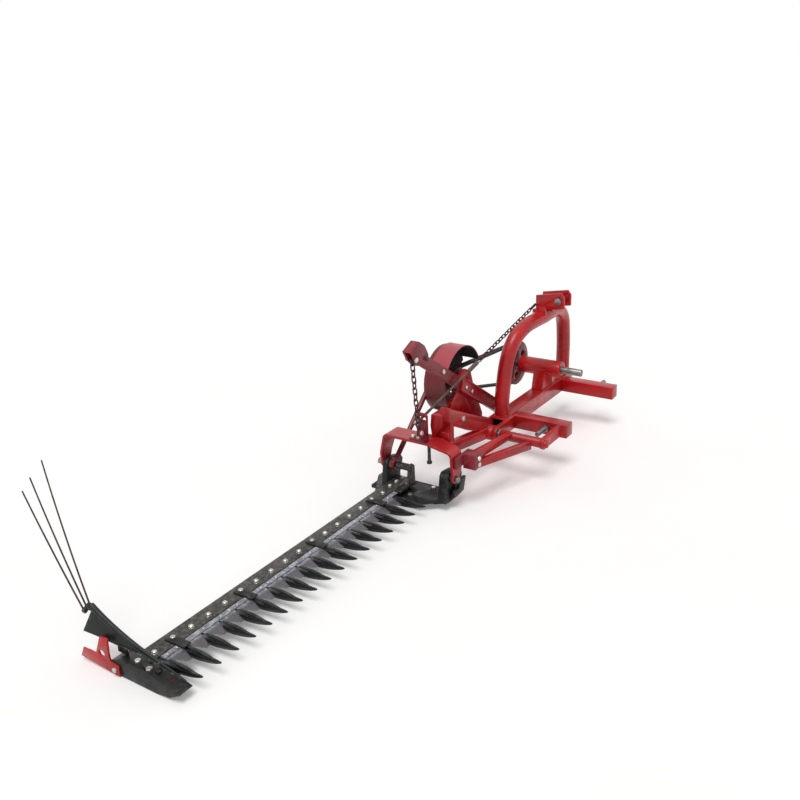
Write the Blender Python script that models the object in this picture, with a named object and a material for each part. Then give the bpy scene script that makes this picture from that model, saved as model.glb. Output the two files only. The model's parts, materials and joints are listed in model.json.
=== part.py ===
"""Rear mounted, belt driven sickle bar mower, working position, bar out to the right.

Metres. X runs out along the cutter bar, Y is the direction of travel, Z is up.
Layout numbers count X from the outermost guard finger, Y from the guard bolts and Z from the ground.
The root empty moves that layout so that the hitch centre is at the world origin.
"""
import math

import bpy
import bmesh
from mathutils import Matrix, Vector

# Driving dimensions
PITCH = 0.0762            # spacing of the guard fingers
FINGERS = 17              # guard fingers along the bar
GAP = 0.0003              # running gap between pieces that touch
BAR_Y0, BAR_Y1 = -0.045, 0.022
BAR_Z0, BAR_Z1 = 0.050, 0.062
SHOE_X1 = -1.262                  # outboard edge of the inner shoe
LAST_X = SHOE_X1 + PITCH / 2 + 0.0047     # innermost guard finger
OUTER_X = LAST_X + (FINGERS - 1) * PITCH  # outermost guard finger
BAR_END = 0.0217                  # the bar runs this far past the outermost finger
BAR_X0, BAR_X1 = -1.400, OUTER_X + BAR_END
KNIFE_Z0, KNIFE_Z1 = 0.0562, 0.0587
FINGER_TIP_Y = 0.207
SECTION_TIP_Y = 0.112

YOKE_X0, YOKE_X1 = -1.412, -1.320
YOKE_Y0, YOKE_Y1 = -0.083, 0.272
YOKE_TOP = 0.281
YOKE_T = 0.012
BAR_HINGE = (-1.350, 0.137)       # x, z of the fore and aft bar hinge
ARM_HINGE = (-1.750, 0.180)       # x, z of the swing arm hinge
LEVER_HINGE = (-2.005, 0.182)     # x, z of the lift lever hinge
LEVER_TIP = (-1.300, 0.653)
LEVER_Y0, LEVER_Y1 = 0.116, 0.126
SHEAVE = (-1.332, 0.636)          # x, z of the chain sheave on the lever
ANCHOR = (-1.292, 0.335)          # x, z of the pin that holds the foot of the lift chain
CHAIN_Y = 0.1378                  # plane of the lift chain

DRIVEN = (-1.720, 0.410)          # x, z of the flywheel shaft
INPUT = (-2.290, 0.315)           # x, z of the input shaft
HITCH_X = -2.200
HITCH_Y = 0.450
HITCH_Z = 0.180
CRANK = PITCH / 2                 # half of the knife stroke
KNIFE_EYE = BAR_HINGE             # the knife head's pin lies on the bar hinge
PITMAN_Y0, PITMAN_Y1 = -0.042, -0.018
SMALL_R = 0.042                   # groove bottom of the driven pulley
BIG_R = 0.095                     # groove bottom of the input pulley
BELT_Y = (0.0440, 0.0610)         # centres of the two belts

BEAM_Y0, BEAM_Y1 = 0.165, 0.235
BEAM_Z0, BEAM_Z1 = 0.145, 0.215
BEAM_X0, BEAM_X1 = -2.570, -1.830
TUBE_R = 0.027                    # bent headstock tube
HEAD_Z = 0.612                    # top of the headstock tube's centre line
SEAT_Z = HEAD_Z + TUBE_R + 0.0005 # underside of the top link bracket
CHAIN_P = 0.0226                  # chain link spacing
CHAIN_W = 0.0030                  # chain wire radius

SWATH_HINGE = (0.078, 0.0628)      # y, z of the swath board pivot


for old in list(bpy.data.objects):
    bpy.data.objects.remove(old, do_unlink=True)

scene = bpy.context.scene
work = bpy.data.collections.new("work")
scene.collection.children.link(work)


def material(name, colour, rough, metal):
    mat = bpy.data.materials.new(name)
    mat.use_nodes = True
    bsdf = mat.node_tree.nodes["Principled BSDF"]
    bsdf.inputs["Base Color"].default_value = (*colour, 1.0)
    bsdf.inputs["Roughness"].default_value = rough
    bsdf.inputs["Metallic"].default_value = metal
    return mat


RED = material("red_paint", (0.48, 0.022, 0.030), 0.35, 0.0)
DARK_RED = material("dark_red_paint", (0.26, 0.014, 0.022), 0.45, 0.0)
BLACK = material("black_casting", (0.020, 0.021, 0.024), 0.50, 0.2)
STEEL = material("bright_steel", (0.42, 0.42, 0.43), 0.35, 1.0)
KNIFE = material("knife_steel", (0.22, 0.22, 0.24), 0.40, 0.9)
CHAIN = material("chain_steel", (0.10, 0.07, 0.07), 0.50, 0.8)
RUBBER = material("belt_rubber", (0.018, 0.018, 0.018), 0.80, 0.0)
ROD = material("spring_steel", (0.09, 0.06, 0.05), 0.50, 0.6)


# Mesh helpers. Each one returns a temporary object that a union uses up.
def temp(bm):
    bmesh.ops.recalc_face_normals(bm, faces=bm.faces)
    mesh = bpy.data.meshes.new("temp")
    bm.to_mesh(mesh)
    bm.free()
    ob = bpy.data.objects.new("temp", mesh)
    work.objects.link(ob)
    return ob


def hull_rings(rings, closed=False):
    """Skin a list of rings of points, capping the ends unless closed."""
    bm = bmesh.new()
    rows = [[bm.verts.new(p) for p in ring] for ring in rings]
    count = len(rows)
    for i in range(count if closed else count - 1):
        a = rows[i]
        b = rows[(i + 1) % count]
        for j in range(len(a)):
            k = (j + 1) % len(a)
            bm.faces.new((a[j], a[k], b[k], b[j]))
    if not closed:
        bm.faces.new(list(reversed(rows[0])))
        bm.faces.new(rows[-1])
    return temp(bm)


def box(x0, x1, y0, y1, z0, z1):
    ring = [(x0, y0), (x1, y0), (x1, y1), (x0, y1)]
    return hull_rings([[(x, y, z0) for x, y in ring], [(x, y, z1) for x, y in ring]])


def prism(axis, points, a, b):
    """Extrude a polygon along an axis; its points are the other two coordinates in order."""
    def place(p, v):
        if axis == "x":
            return (v, p[0], p[1])
        if axis == "y":
            return (p[0], v, p[1])
        return (p[0], p[1], v)
    return hull_rings([[place(p, a) for p in points], [place(p, b) for p in points]])


def frame_of(direction):
    d = Vector(direction).normalized()
    ref = Vector((0, 0, 1)) if abs(d.z) < 0.9 else Vector((0, 1, 0))
    u = d.cross(ref).normalized()
    return u, u.cross(d).normalized()


def rod(p, q, r, n=16, r2=None):
    p, q = Vector(p), Vector(q)
    u, v = frame_of(q - p)
    rings = []
    for c, rad in ((p, r), (q, r if r2 is None else r2)):
        rings.append([c + rad * (math.cos(t) * u + math.sin(t) * v)
                      for t in (2 * math.pi * (i + 0.5) / n for i in range(n))])
    return hull_rings(rings)


def tube_path(points, r, n=12):
    """Solid round bar along a path, with its sections turned as little as possible."""
    pts = [Vector(p) for p in points]
    u, v = frame_of(pts[1] - pts[0])
    rings = []
    for i, p in enumerate(pts):
        before = (pts[i] - pts[i - 1]).normalized() if i else (pts[1] - pts[0]).normalized()
        after = (pts[i + 1] - pts[i]).normalized() if i < len(pts) - 1 else before
        d = (before + after).normalized()
        u = (u - d * u.dot(d)).normalized()
        v = d.cross(u)
        rings.append([p + r * (math.cos(2 * math.pi * k / n) * u + math.sin(2 * math.pi * k / n) * v)
                      for k in range(n)])
    return hull_rings(rings)


def bar_between(p, q, height, y0, y1):
    """Flat bar in an X-Z plane between two (x, z) points."""
    d = Vector((q[0] - p[0], q[1] - p[1])).normalized() * (height / 2)
    pts = [(p[0] - d.y, p[1] + d.x), (p[0] + d.y, p[1] - d.x),
           (q[0] + d.y, q[1] - d.x), (q[0] - d.y, q[1] + d.x)]
    return prism("y", pts, y0, y1)


def slab(points, thickness):
    """Flat plate on a planar polygon of 3-D points, thickened both ways."""
    pts = [Vector(p) for p in points]
    n = (pts[1] - pts[0]).cross(pts[2] - pts[0]).normalized() * (thickness / 2)
    return hull_rings([[p - n for p in pts], [p + n for p in pts]])


def lathe_y(cx, cz, profile, n=32):
    """Solid of revolution about a Y axis from a closed (radius, y) profile."""
    rings = []
    for i in range(n):
        t = 2 * math.pi * (i + 0.5) / n
        rings.append([(cx + r * math.cos(t), y, cz + r * math.sin(t)) for r, y in profile])
    return hull_rings(rings, closed=True)


def fuse(parts, cuts=()):
    """Boolean union of the parts, less the cuts, as one new mesh."""
    base = parts[0]
    for operation, operands in (("UNION", parts[1:]), ("DIFFERENCE", cuts)):
        for other in operands:
            mod = base.modifiers.new(operation, "BOOLEAN")
            mod.operation = operation
            mod.solver = "EXACT"
            mod.object = other
    bpy.context.view_layer.update()
    depsgraph = bpy.context.evaluated_depsgraph_get()
    mesh = bpy.data.meshes.new_from_object(base.evaluated_get(depsgraph))
    base.modifiers.clear()
    for ob in list(parts) + list(cuts):
        bpy.data.objects.remove(ob, do_unlink=True)
    return mesh


ROOT = bpy.data.objects.new("mower_root", None)
ROOT.location = (-HITCH_X, -HITCH_Y, -HITCH_Z)
scene.collection.objects.link(ROOT)
PIVOT = {}


def joint(name, x, y, z, parent=None):
    """Empty on a joint's axis, given in layout coordinates."""
    empty = bpy.data.objects.new(name, None)
    scene.collection.objects.link(empty)
    base = PIVOT[parent] if parent else Vector((0, 0, 0))
    empty.parent = bpy.data.objects[parent] if parent else ROOT
    empty.location = Vector((x, y, z)) - base
    PIVOT[name] = Vector((x, y, z))


def finger_x(i):
    """X of guard finger i, counted inwards from the outer end."""
    return OUTER_X - i * PITCH


joint("joint_frame", 0, 0, 0)
joint("joint_input", INPUT[0], 0.05, INPUT[1], "joint_frame")
joint("joint_flywheel", DRIVEN[0], 0.0, DRIVEN[1], "joint_frame")
along = Vector((KNIFE_EYE[0] - DRIVEN[0], KNIFE_EYE[1] - DRIVEN[1])).normalized()
CRANK_PIN = (DRIVEN[0] - CRANK * along.y, DRIVEN[1] + CRANK * along.x)
joint("joint_lever", LEVER_HINGE[0], 0.12, LEVER_HINGE[1], "joint_frame")
span = Vector((LEVER_TIP[0] - LEVER_HINGE[0], 0, LEVER_TIP[1] - LEVER_HINGE[1]))
LEVER_LENGTH = span.length
u = span.normalized()
w = Vector((-u.z, 0, u.x))


def on_lever(s, h):
    """Point (x, z) on the lever, s back from its tip and h above its centre line."""
    q = Vector((LEVER_TIP[0], 0, LEVER_TIP[1])) - u * s + w * h
    return (q.x, q.z)


top = on_lever(-0.030, -0.024)
STAY_TOP = Vector((HITCH_X + 0.030, 0.2161, SEAT_Z + 0.0155))
STAY_EYE = Vector((-1.360, 0.110, 0.368))
joint("joint_chain", top[0], CHAIN_Y, top[1], "joint_lever")
joint("joint_sheave", SHEAVE[0], 0.14, SHEAVE[1], "joint_lever")
joint("joint_stay", *STAY_TOP, "joint_frame")
joint("joint_arm", ARM_HINGE[0], 0.2, ARM_HINGE[1], "joint_frame")
joint("joint_bar", BAR_HINGE[0], 0.08, BAR_HINGE[1], "joint_arm")
joint("joint_knife", -0.6, 0.04, KNIFE_Z0, "joint_bar")
joint("joint_pitman", KNIFE_EYE[0], -0.03, KNIFE_EYE[1], "joint_knife")
joint("joint_swath", OUTER_X + 0.06, SWATH_HINGE[0], SWATH_HINGE[1], "joint_bar")


def part(name, body, mat, parts, cuts=(), smooth=0.0, outer=False):
    """Fuse the pieces into one named object on its joint's empty.

    The numbers of an outer part count X from the outermost guard finger.
    """
    mesh = fuse(parts, cuts)
    start = Vector((OUTER_X, 0, 0)) if outer else Vector((0, 0, 0))
    mesh.transform(Matrix.Translation(start - PIVOT[body]))
    bm = bmesh.new()
    bm.from_mesh(mesh)
    bmesh.ops.remove_doubles(bm, verts=bm.verts, dist=0.00001)
    bm.to_mesh(mesh)
    bm.free()
    mesh.name = name
    mesh.materials.clear()
    mesh.materials.append(mat)
    if smooth:
        mesh.polygons.foreach_set("use_smooth", [True] * len(mesh.polygons))
        mesh.set_sharp_from_angle(angle=math.radians(smooth))
    ob = bpy.data.objects.new(name, mesh)
    ob.parent = bpy.data.objects[body]
    scene.collection.objects.link(ob)
    return ob


def arc(cx, cz, r, a0, a1, n):
    return [(cx + r * math.cos(math.radians(a0 + (a1 - a0) * i / n)),
             cz + r * math.sin(math.radians(a0 + (a1 - a0) * i / n))) for i in range(n + 1)]


# Cutter bar: the flat back bar with its guard bolts
CLIP_FINGERS = (1, 5, 10, 15)
bar = [box(BAR_X0, BAR_X1, BAR_Y0, BAR_Y1, BAR_Z0, BAR_Z1)]
for i in range(FINGERS):
    if i not in CLIP_FINGERS:
        bar.append(rod((finger_x(i), 0, BAR_Z1 - 0.003), (finger_x(i), 0, BAR_Z1 + 0.008), 0.0095, 6))
for x in (-1.29, -1.335, -1.38):
    bar.append(rod((x, -0.012, BAR_Z1 - 0.003), (x, -0.012, BAR_Z1 + 0.008), 0.0095, 6))
part("cutter_bar", "joint_bar", BLACK, bar)


# Guards: one single at the outer end, then eight doubles
def finger(x):
    stations = ((0.012, 0.0130, 0.034, 0.0488), (0.0228, 0.0130, 0.030, 0.0492), (0.0232, 0.0130, 0.030, 0.0557),
                (0.085, 0.0120, 0.022, 0.0557),
                (0.130, 0.0105, 0.023, 0.0557), (0.168, 0.0075, 0.032, 0.0590), (0.193, 0.0045, 0.044, 0.0600),
                (FINGER_TIP_Y, 0.0018, 0.0555, 0.0595))
    rings = []
    for y, w, z0, z1 in stations:
        zm = (z0 + z1) / 2
        rings.append([(x - w * 0.45, y, z0), (x + w * 0.45, y, z0), (x + w, y, zm), (x + w, y, z1),
                      (x - w, y, z1), (x - w, y, zm)])
    lip = []
    for y, w, z0, z1 in ((0.066, 0.0060, 0.0618, 0.0655), (0.095, 0.0075, 0.0606, 0.0680),
                         (SECTION_TIP_Y + 0.002, 0.0082, 0.0600, 0.0684),
                         (SECTION_TIP_Y + 0.003, 0.0083, 0.0520, 0.0684),
                         (0.150, 0.0080, 0.0500, 0.0640), (0.168, 0.0060, 0.0500, 0.0588)):
        lip.append([(x - w, y, z0), (x + w, y, z0), (x + w, y, z1), (x - w, y, z1)])
    return [hull_rings(rings), hull_rings(lip)]


def flange(x0, x1):
    return prism("x", [(-0.034, 0.038), (0.020, 0.033), (0.020, BAR_Z0 - GAP), (-0.034, BAR_Z0 - GAP)], x0, x1)


part("guard_outer", "joint_bar", BLACK, [flange(finger_x(0.5) + 0.0006, BAR_X1)] + finger(OUTER_X))
for g in range(8):
    xa = finger_x(1 + 2 * g)
    xb = finger_x(2 + 2 * g)
    part("guard_double_%d" % (g + 1), "joint_bar", BLACK,
         [flange(xb - PITCH / 2 + 0.0006, xa + PITCH / 2 - 0.0006)] + finger(xa) + finger(xb))

# Hold-down clips over the knife back, each on a guard bolt
for i in CLIP_FINGERS:
    x = finger_x(i)
    clip = prism("x", [(-0.022, BAR_Z1 + GAP), (0.022, BAR_Z1 + GAP), (0.027, 0.0645), (0.064, 0.0645),
                       (0.064, 0.0690), (0.024, 0.0705), (-0.022, 0.0690)], x - 0.017, x + 0.017)
    head = rod((x, 0, 0.067), (x, 0, 0.077), 0.0095, 6)
    part("hold_down_clip_%d" % CLIP_FINGERS.index(i), "joint_bar", BLACK, [clip, head])

# Knife: the toothed blade strip, its back and the head
knife_x0 = SHOE_X1 + 0.0047
tooth = PITCH / 2 - 0.0006
teeth = [(knife_x0, 0.026), (OUTER_X, 0.026)]
for i in range(FINGERS - 1):
    x = finger_x(i + 0.5)
    teeth += [(x + tooth, 0.040), (x + 0.0085, SECTION_TIP_Y), (x - 0.0085, SECTION_TIP_Y), (x - tooth, 0.040)]
teeth += [(knife_x0, 0.040)]
part("knife_sections", "joint_knife", KNIFE, [prism("z", teeth, KNIFE_Z0, KNIFE_Z1)])
back = [box(knife_x0, OUTER_X, 0.028, 0.046, KNIFE_Z1 + GAP, 0.0630)]
for i in range(FINGERS - 1):
    for dx in (-0.02, 0.02):
        x = finger_x(i + 0.5) + dx
        back.append(rod((x, 0.037, 0.0620), (x, 0.037, 0.0641), 0.0042, 6, 0.0028))
part("knife_back", "joint_knife", KNIFE, back)
ex, ez = KNIFE_EYE
part("knife_head", "joint_knife", KNIFE, [
    box(-1.374, knife_x0 - GAP, 0.028, 0.062, KNIFE_Z1 + GAP, 0.069),
    prism("y", [(-1.370, 0.066), (-1.318, 0.066), (ex + 0.018, ez + 0.006), (ex + 0.008, ez + 0.018),
                (ex - 0.008, ez + 0.018), (ex - 0.018, ez + 0.006)], 0.050, 0.062),
    rod((ex, 0.055, ez), (ex, -0.0455, ez), 0.0105, 12),
    rod((ex, 0.050, ez), (ex, -0.010, ez), 0.0155, 12)], smooth=35)

# Inner shoe: a narrow curved runner, a deck out to the bar and the two hinge ears
SHOE_X0 = -1.420
RUNNER_X1 = -1.345
runner = [(-0.150, 0.0), (0.170, 0.0), (0.235, 0.022), (0.266, 0.060), (0.276, 0.126),
          (0.264, 0.126), (0.254, 0.068), (0.226, 0.036), (0.166, 0.014), (-0.150, 0.014)]
DECK_Z0, DECK_Z1 = 0.030, 0.044


def ear(y0, y1):
    """Broad hinge ear: round over the pin, running back to the inboard edge of the shoe."""
    hx, hz = BAR_HINGE
    pts = [(hx + 0.040, 0.034)] + arc(hx, hz, 0.023, 0, 90, 6)
    pts += [(-1.398, hz + 0.017), (-1.428, hz + 0.008), (-1.441, hz - 0.010), (-1.436, hz - 0.035),
            (SHOE_X0, 0.070), (SHOE_X0, 0.034)]
    return prism("y", pts, y0, y1)


hx, hz = BAR_HINGE
part("inner_shoe", "joint_bar", BLACK, [
    prism("x", runner, SHOE_X0, RUNNER_X1),
    prism("z", [(SHOE_X0, -0.140), (-1.385, -0.140), (SHOE_X1, -0.070), (SHOE_X1, 0.150), (-1.325, 0.222),
                (SHOE_X0, 0.222)], DECK_Z0, DECK_Z1),
    prism("x", [(-0.140, 0.010), (0.172, 0.010), (0.214, 0.034), (-0.125, 0.034)], SHOE_X0, SHOE_X0 + 0.012),
    prism("x", [(-0.140, 0.010), (0.172, 0.010), (0.214, 0.034), (-0.125, 0.034)], RUNNER_X1 - 0.012, RUNNER_X1),
    ear(YOKE_Y0 + YOKE_T + GAP, -0.0475), ear(0.206, 0.2450),
    box(SHOE_X0, SHOE_X1, -0.043, 0.020, DECK_Z0 + 0.002, BAR_Z0 - GAP),
    prism("x", [(-0.070, 0.020), (0.150, 0.020), (0.150, 0.032), (-0.070, 0.032)], SHOE_X1 - 0.012, SHOE_X1),
    rod((-1.392, 0.136, DECK_Z1 - 0.004), (-1.392, 0.136, DECK_Z1 + 0.009), 0.010, 6),
    rod((-1.292, 0.085, DECK_Z1 - 0.004), (-1.292, 0.085, DECK_Z1 + 0.009), 0.010, 6)],
    [rod((hx, -0.2, hz), (hx, 0.4, hz), 0.0103, 16),
     box(-1.378, -1.330, 0.248, 0.300, 0.085, 0.200)], smooth=30)
part("hinge_pin_rear", "joint_bar", STEEL, [
    rod((hx, YOKE_Y0 - 0.009, hz), (hx, -0.0500, hz), 0.0100, 16),
    rod((hx, YOKE_Y0 - 0.021, hz), (hx, YOKE_Y0 - GAP, hz), 0.015, 6)])
part("hinge_pin_front", "joint_bar", STEEL, [
    rod((hx, 0.208, hz), (hx, YOKE_Y1 + 0.009, hz), 0.0100, 16),
    rod((hx, YOKE_Y1 + GAP, hz), (hx, YOKE_Y1 + 0.012, hz), 0.015, 6)])

# Outer shoe with the bolted red skid bracket
part("outer_shoe", "joint_bar", BLACK, [
    prism("x", [(-0.110, 0.004), (-0.095, 0.0), (0.085, 0.0), (0.140, 0.008), (0.186, 0.034), (0.120, 0.048),
                (0.050, 0.062), (-0.070, 0.062), (-0.110, 0.045)], BAR_END + GAP, 0.078),
    box(-0.036, 0.030, -0.080, 0.080, 0.0, 0.010),
    box(-0.036, 0.030, -0.032, 0.000, 0.006, 0.0325),
    rod((0.055, -0.011, 0.058), (0.055, -0.011, 0.070), 0.010, 6),
    rod((0.062, 0.047, 0.056), (0.062, 0.047, 0.068), 0.010, 6)],
    [box(0.010, 0.0400, 0.0225, 0.118, 0.0555, 0.080)], outer=True)
part("skid_bracket", "joint_bar", RED, [
    prism("x", [(-0.250, 0.014), (-0.070, 0.002), (-0.070, 0.040), (-0.125, 0.046), (-0.130, 0.120),
                (-0.168, 0.120), (-0.178, 0.046), (-0.232, 0.050)], 0.0783, 0.0843),
    rod((0.0783 + 0.003, -0.088, 0.022), (0.090, -0.088, 0.022), 0.009, 6),
    box(0.052, 0.081, -0.250, -0.1105, 0.014, 0.019)],
    [rod((0.05, -0.150, 0.066), (0.12, -0.150, 0.066), 0.011, 12)], outer=True)

# Swath board with its rolled top, its post and the three rods
TIP = (0.036, 0.186, 0.050)
TOP = (0.055, -0.190, 0.212)
LOW = (0.078, -0.222, 0.125)
MID = (0.062, 0.020, 0.088)
board = slab([TIP, TOP, LOW], 0.004)
fold = slab([TIP, LOW, MID], 0.004)
t, p = Vector(TOP), Vector(TIP)
roll = rod(t + (p - t) * -0.02, t + (p - t) * 0.55, 0.010, 12, 0.005)
hy, hh = SWATH_HINGE
barrel = rod((0.0430, hy, hh), (0.0620, hy, hh), 0.0060, 12)
part("swath_board", "joint_swath", BLACK, [board, fold, roll, barrel, box(0.0460, 0.0540, 0.0735, 0.0825, hh, 0.0745)],
     outer=True)
part("swath_post", "joint_bar", BLACK, [
    prism("x", [(-0.105, 0.0625), (-0.060, 0.0625), (-0.072, 0.100), (-0.078, 0.128), (-0.100, 0.128)],
          0.0440, 0.0520)], outer=True)
rods = [rod((0.074, -0.214, 0.196), (0.042, -0.218, 0.208), 0.009, 12),
        rod((0.058, -0.216, 0.2005), (0.058, -0.1961, 0.2005), 0.0040, 8)]
for k, tip in enumerate(((-0.004, -0.400, 0.617), (0.045, -0.400, 0.579), (0.078, -0.400, 0.548))):
    base = (0.046 + 0.012 * k, -0.2175 + 0.0015 * k, 0.2065 - 0.0045 * k)
    rods.append(rod(base, tip, 0.0032, 8, 0.0026))
part("swath_rods", "joint_swath", ROD, rods, outer=True)

# Yoke over the inner shoe: a bent strap, level over the lugs and falling to the front, on tapered legs
y0, y1, zt, th = YOKE_Y0, YOKE_Y1, YOKE_TOP, YOKE_T
LEVEL_Y = 0.150                   # the strap starts to fall here
FALL = 0.022                      # height lost by the front bend
foot_z = hz - 0.017
knee_z = hz + 0.040
outer = [(y0, foot_z), (y0, knee_z), (y0 + 0.018, zt - 0.024), (y0 + 0.036, zt), (LEVEL_Y, zt),
         (y1 - 0.020, zt - FALL), (y1, zt - FALL - 0.020), (y1, foot_z)]
inner = [(y1 - th, foot_z), (y1 - th, zt - FALL - 0.026), (y1 - 0.026, zt - FALL - th), (LEVEL_Y, zt - th),
         (y0 + 0.042, zt - th), (y0 + 0.018 + th, zt - 0.030), (y0 + th, knee_z), (y0 + th, foot_z)]
part("yoke", "joint_arm", RED, [prism("x", outer + inner, YOKE_X0, YOKE_X1)],
     [rod((hx, -0.3, hz), (hx, 0.5, hz), 0.0103, 16),
      prism("y", [(-1.43, 0.05), (hx - 0.018, 0.05), (hx - 0.020, hz - 0.002), (-1.394, hz + 0.022),
                  (YOKE_X0, 0.215), (-1.43, 0.215)], -0.3, 0.5),
      prism("y", [(-1.30, 0.05), (hx + 0.018, 0.05), (hx + 0.020, hz + 0.006), (-1.319, 0.215), (-1.30, 0.215)], -0.3, 0.5),
      prism("z", [(-1.43, 0.120), (YOKE_X0, 0.120), (-1.395, y1 - 0.020), (-1.395, 0.40), (-1.43, 0.40)], 0.1, 0.4)])
part("stop_bolt", "joint_arm", STEEL, [
    rod((-1.355, 0.1435, zt - th - 0.084), (-1.355, 0.1435, zt - th - GAP), 0.007, 12),
    rod((-1.355, 0.1435, zt - th - 0.092), (-1.355, 0.1435, zt - th - 0.082), 0.012, 6)])
kx, kz = ANCHOR
part("chain_anchor", "joint_arm", RED, [
    box(-1.350, -1.322, 0.068, 0.1490, zt + GAP, zt + 0.006),
    prism("y", [(-1.350, zt + GAP), (-1.322, zt + GAP), (kx + 0.010, kz - 0.006), (kx + 0.010, kz + 0.006),
                (kx + 0.003, kz + 0.012), (kx - 0.006, kz + 0.012), (kx - 0.014, kz + 0.004)], 0.1414, 0.1490),
    rod((-1.336, 0.080, zt + 0.004), (-1.336, 0.080, zt + 0.015), 0.0090, 6),
    rod((-1.336, 0.108, zt + 0.004), (-1.336, 0.108, zt + 0.015), 0.0090, 6),
    rod((kx, 0.1318, kz), (kx, 0.1450, kz), 0.0036, 12),
    rod((kx, 0.1480, kz), (kx, 0.1555, kz), 0.0090, 6)])
along_stay = (STAY_EYE - STAY_TOP).normalized()
lug_z = STAY_EYE.z
slots = []
for dy in (-0.003, 0.005, 0.013):
    slide = Vector((0, dy, 0))
    slots.append(rod(STAY_EYE - along_stay * 0.05 + slide, STAY_EYE + along_stay * 0.05 + slide, 0.0092, 12))
part("stay_lug", "joint_arm", RED, [
    prism("x", [(0.086, zt + GAP), (0.1365, zt + GAP), (0.1365, lug_z + 0.012), (0.128, lug_z + 0.022),
                (0.096, lug_z + 0.022), (0.086, lug_z + 0.012)], STAY_EYE.x - 0.005, STAY_EYE.x + 0.005)], slots)
boss_y = YOKE_Y1 + GAP
part("front_boss", "joint_arm", RED, [
    box(-1.445, -1.330, boss_y, boss_y + 0.014, 0.190, 0.236),
    box(-1.445, -1.392, boss_y + 0.008, 0.336, 0.172, 0.236),
    rod((-1.418, 0.334, 0.216), (-1.418, 0.343, 0.216), 0.010, 6),
    rod((-1.418, 0.334, 0.190), (-1.418, 0.343, 0.190), 0.010, 6)])

# Swing arm: hinge barrel, lower bar, web plate and the swivel tube above the yoke
ax, az = ARM_HINGE
SWIVEL_X = -1.385                 # outboard face of the swivel block
part("swing_arm", "joint_arm", RED, [
    rod((ax, 0.1685, az), (ax, 0.2315, az), 0.034, 20),
    bar_between((ax, az), (-1.420, 0.232), 0.046, 0.178, 0.214),
    prism("y", [(-1.402, 0.403), (-1.420, 0.403), (-1.785, 0.226), (-1.779, 0.190), (-1.700, 0.205), (-1.574, 0.252),
                (-1.454, 0.315), (-1.402, 0.366)], 0.190, 0.206),
    box(-1.414, -1.402, 0.172, 0.212, 0.352, 0.410),
    prism("x", [(0.138, 0.380), (0.190, 0.380), (0.182, 0.330), (0.156, 0.2945), (0.138, 0.2945), (0.133, 0.330)],
          -1.440, SWIVEL_X),
    box(-1.450, SWIVEL_X, 0.138, LEVEL_Y, zt + GAP, 0.300),
    box(-1.450, -1.425, 0.138, 0.206, 0.240, 0.380),
    box(-1.450, YOKE_X0 - 0.0005, 0.140, 0.200, 0.235, 0.300),
    rod((-1.518, 0.204, 0.327), (-1.518, 0.214, 0.327), 0.011, 6)],
    [rod((ax, 0.1, az), (ax, 0.3, az), 0.0143, 16)], smooth=30)
part("arm_hinge_pin", "joint_frame", STEEL, [
    rod((ax, 0.140, az), (ax, 0.2600, az), 0.0140, 16), rod((ax, 0.2503, az), (ax, 0.262, az), 0.022, 6)])
part("cross_tube", "joint_arm", RED, [rod((ax, 0.2650, az), (ax, 0.4547, az), 0.022, 16),
                                      prism("y", [(-1.4453, 0.199), (-1.4453, 0.235), (ax, az + 0.020),
                                                  (ax, az - 0.002)], 0.296, 0.324)],
     [rod((ax, 0.43, az), (ax, 0.50, az), 0.0123, 16)])
part("drag_brace", "joint_arm", RED, [
    hull_rings([[(-1.4453, 0.296, 0.160), (-1.4453, 0.324, 0.160), (-1.4453, 0.324, 0.191), (-1.4453, 0.296, 0.191)],
                [(ax + 0.0228, 0.392, 0.152), (ax + 0.0228, 0.420, 0.152),
                 (ax + 0.0228, 0.420, 0.186), (ax + 0.0228, 0.392, 0.186)]])])

# Hitch frame: cross beam with hinge cheeks, front arms, bent headstock tube and brackets
cheek = [(-1.905, 0.150), (-1.752, 0.150)] + arc(ax, az, 0.030, -90, 90, 6) + [(-1.905, 0.210)]
part("cross_beam", "joint_frame", RED, [
    box(BEAM_X0, BEAM_X1, BEAM_Y0, BEAM_Y1, BEAM_Z0, BEAM_Z1),
    prism("y", cheek, 0.1530, 0.1682), prism("y", cheek, 0.2318, 0.2500)],
    [box(-2.60, -2.52, BEAM_Y0 + 0.006, BEAM_Y1 - 0.006, BEAM_Z0 + 0.006, BEAM_Z1 - 0.006),
     box(-1.880, -1.80, BEAM_Y0 + 0.006, BEAM_Y1 - 0.006, BEAM_Z0 + 0.006, BEAM_Z1 - 0.006),
     rod((ax, 0.1, az), (ax, 0.3, az), 0.0143, 16)])
part("front_arm_right", "joint_frame", RED, [
    box(-1.965, -1.905, BEAM_Y1 + GAP, 0.500, 0.150, 0.210),
    prism("y", [(-1.930, 0.155), (-1.752, 0.155)] + arc(ax, az, 0.026, -90, 90, 6) + [(-1.930, 0.205)],
          0.4550, 0.4720),
    rod((ax, 0.432, az), (ax, 0.486, az), 0.0120, 16),
    rod((ax, 0.4700, az), (ax, 0.484, az), 0.019, 6)])
part("front_arm_left", "joint_frame", RED, [
    box(-2.495, -2.435, BEAM_Y1 + GAP, 0.500, 0.150, 0.210)])
for tag, x0, s in (("right", -1.905, 1), ("left", -2.495, -1)):
    part("lower_hitch_pin_" + tag, "joint_frame", STEEL, [
        rod((x0 + s * GAP, 0.400, HITCH_Z), (x0 + s * 0.085, 0.400, HITCH_Z), 0.011, 16),
        rod((x0 + s * GAP, 0.400, HITCH_Z), (x0 + s * 0.012, 0.400, HITCH_Z), 0.018, 6)])
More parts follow.
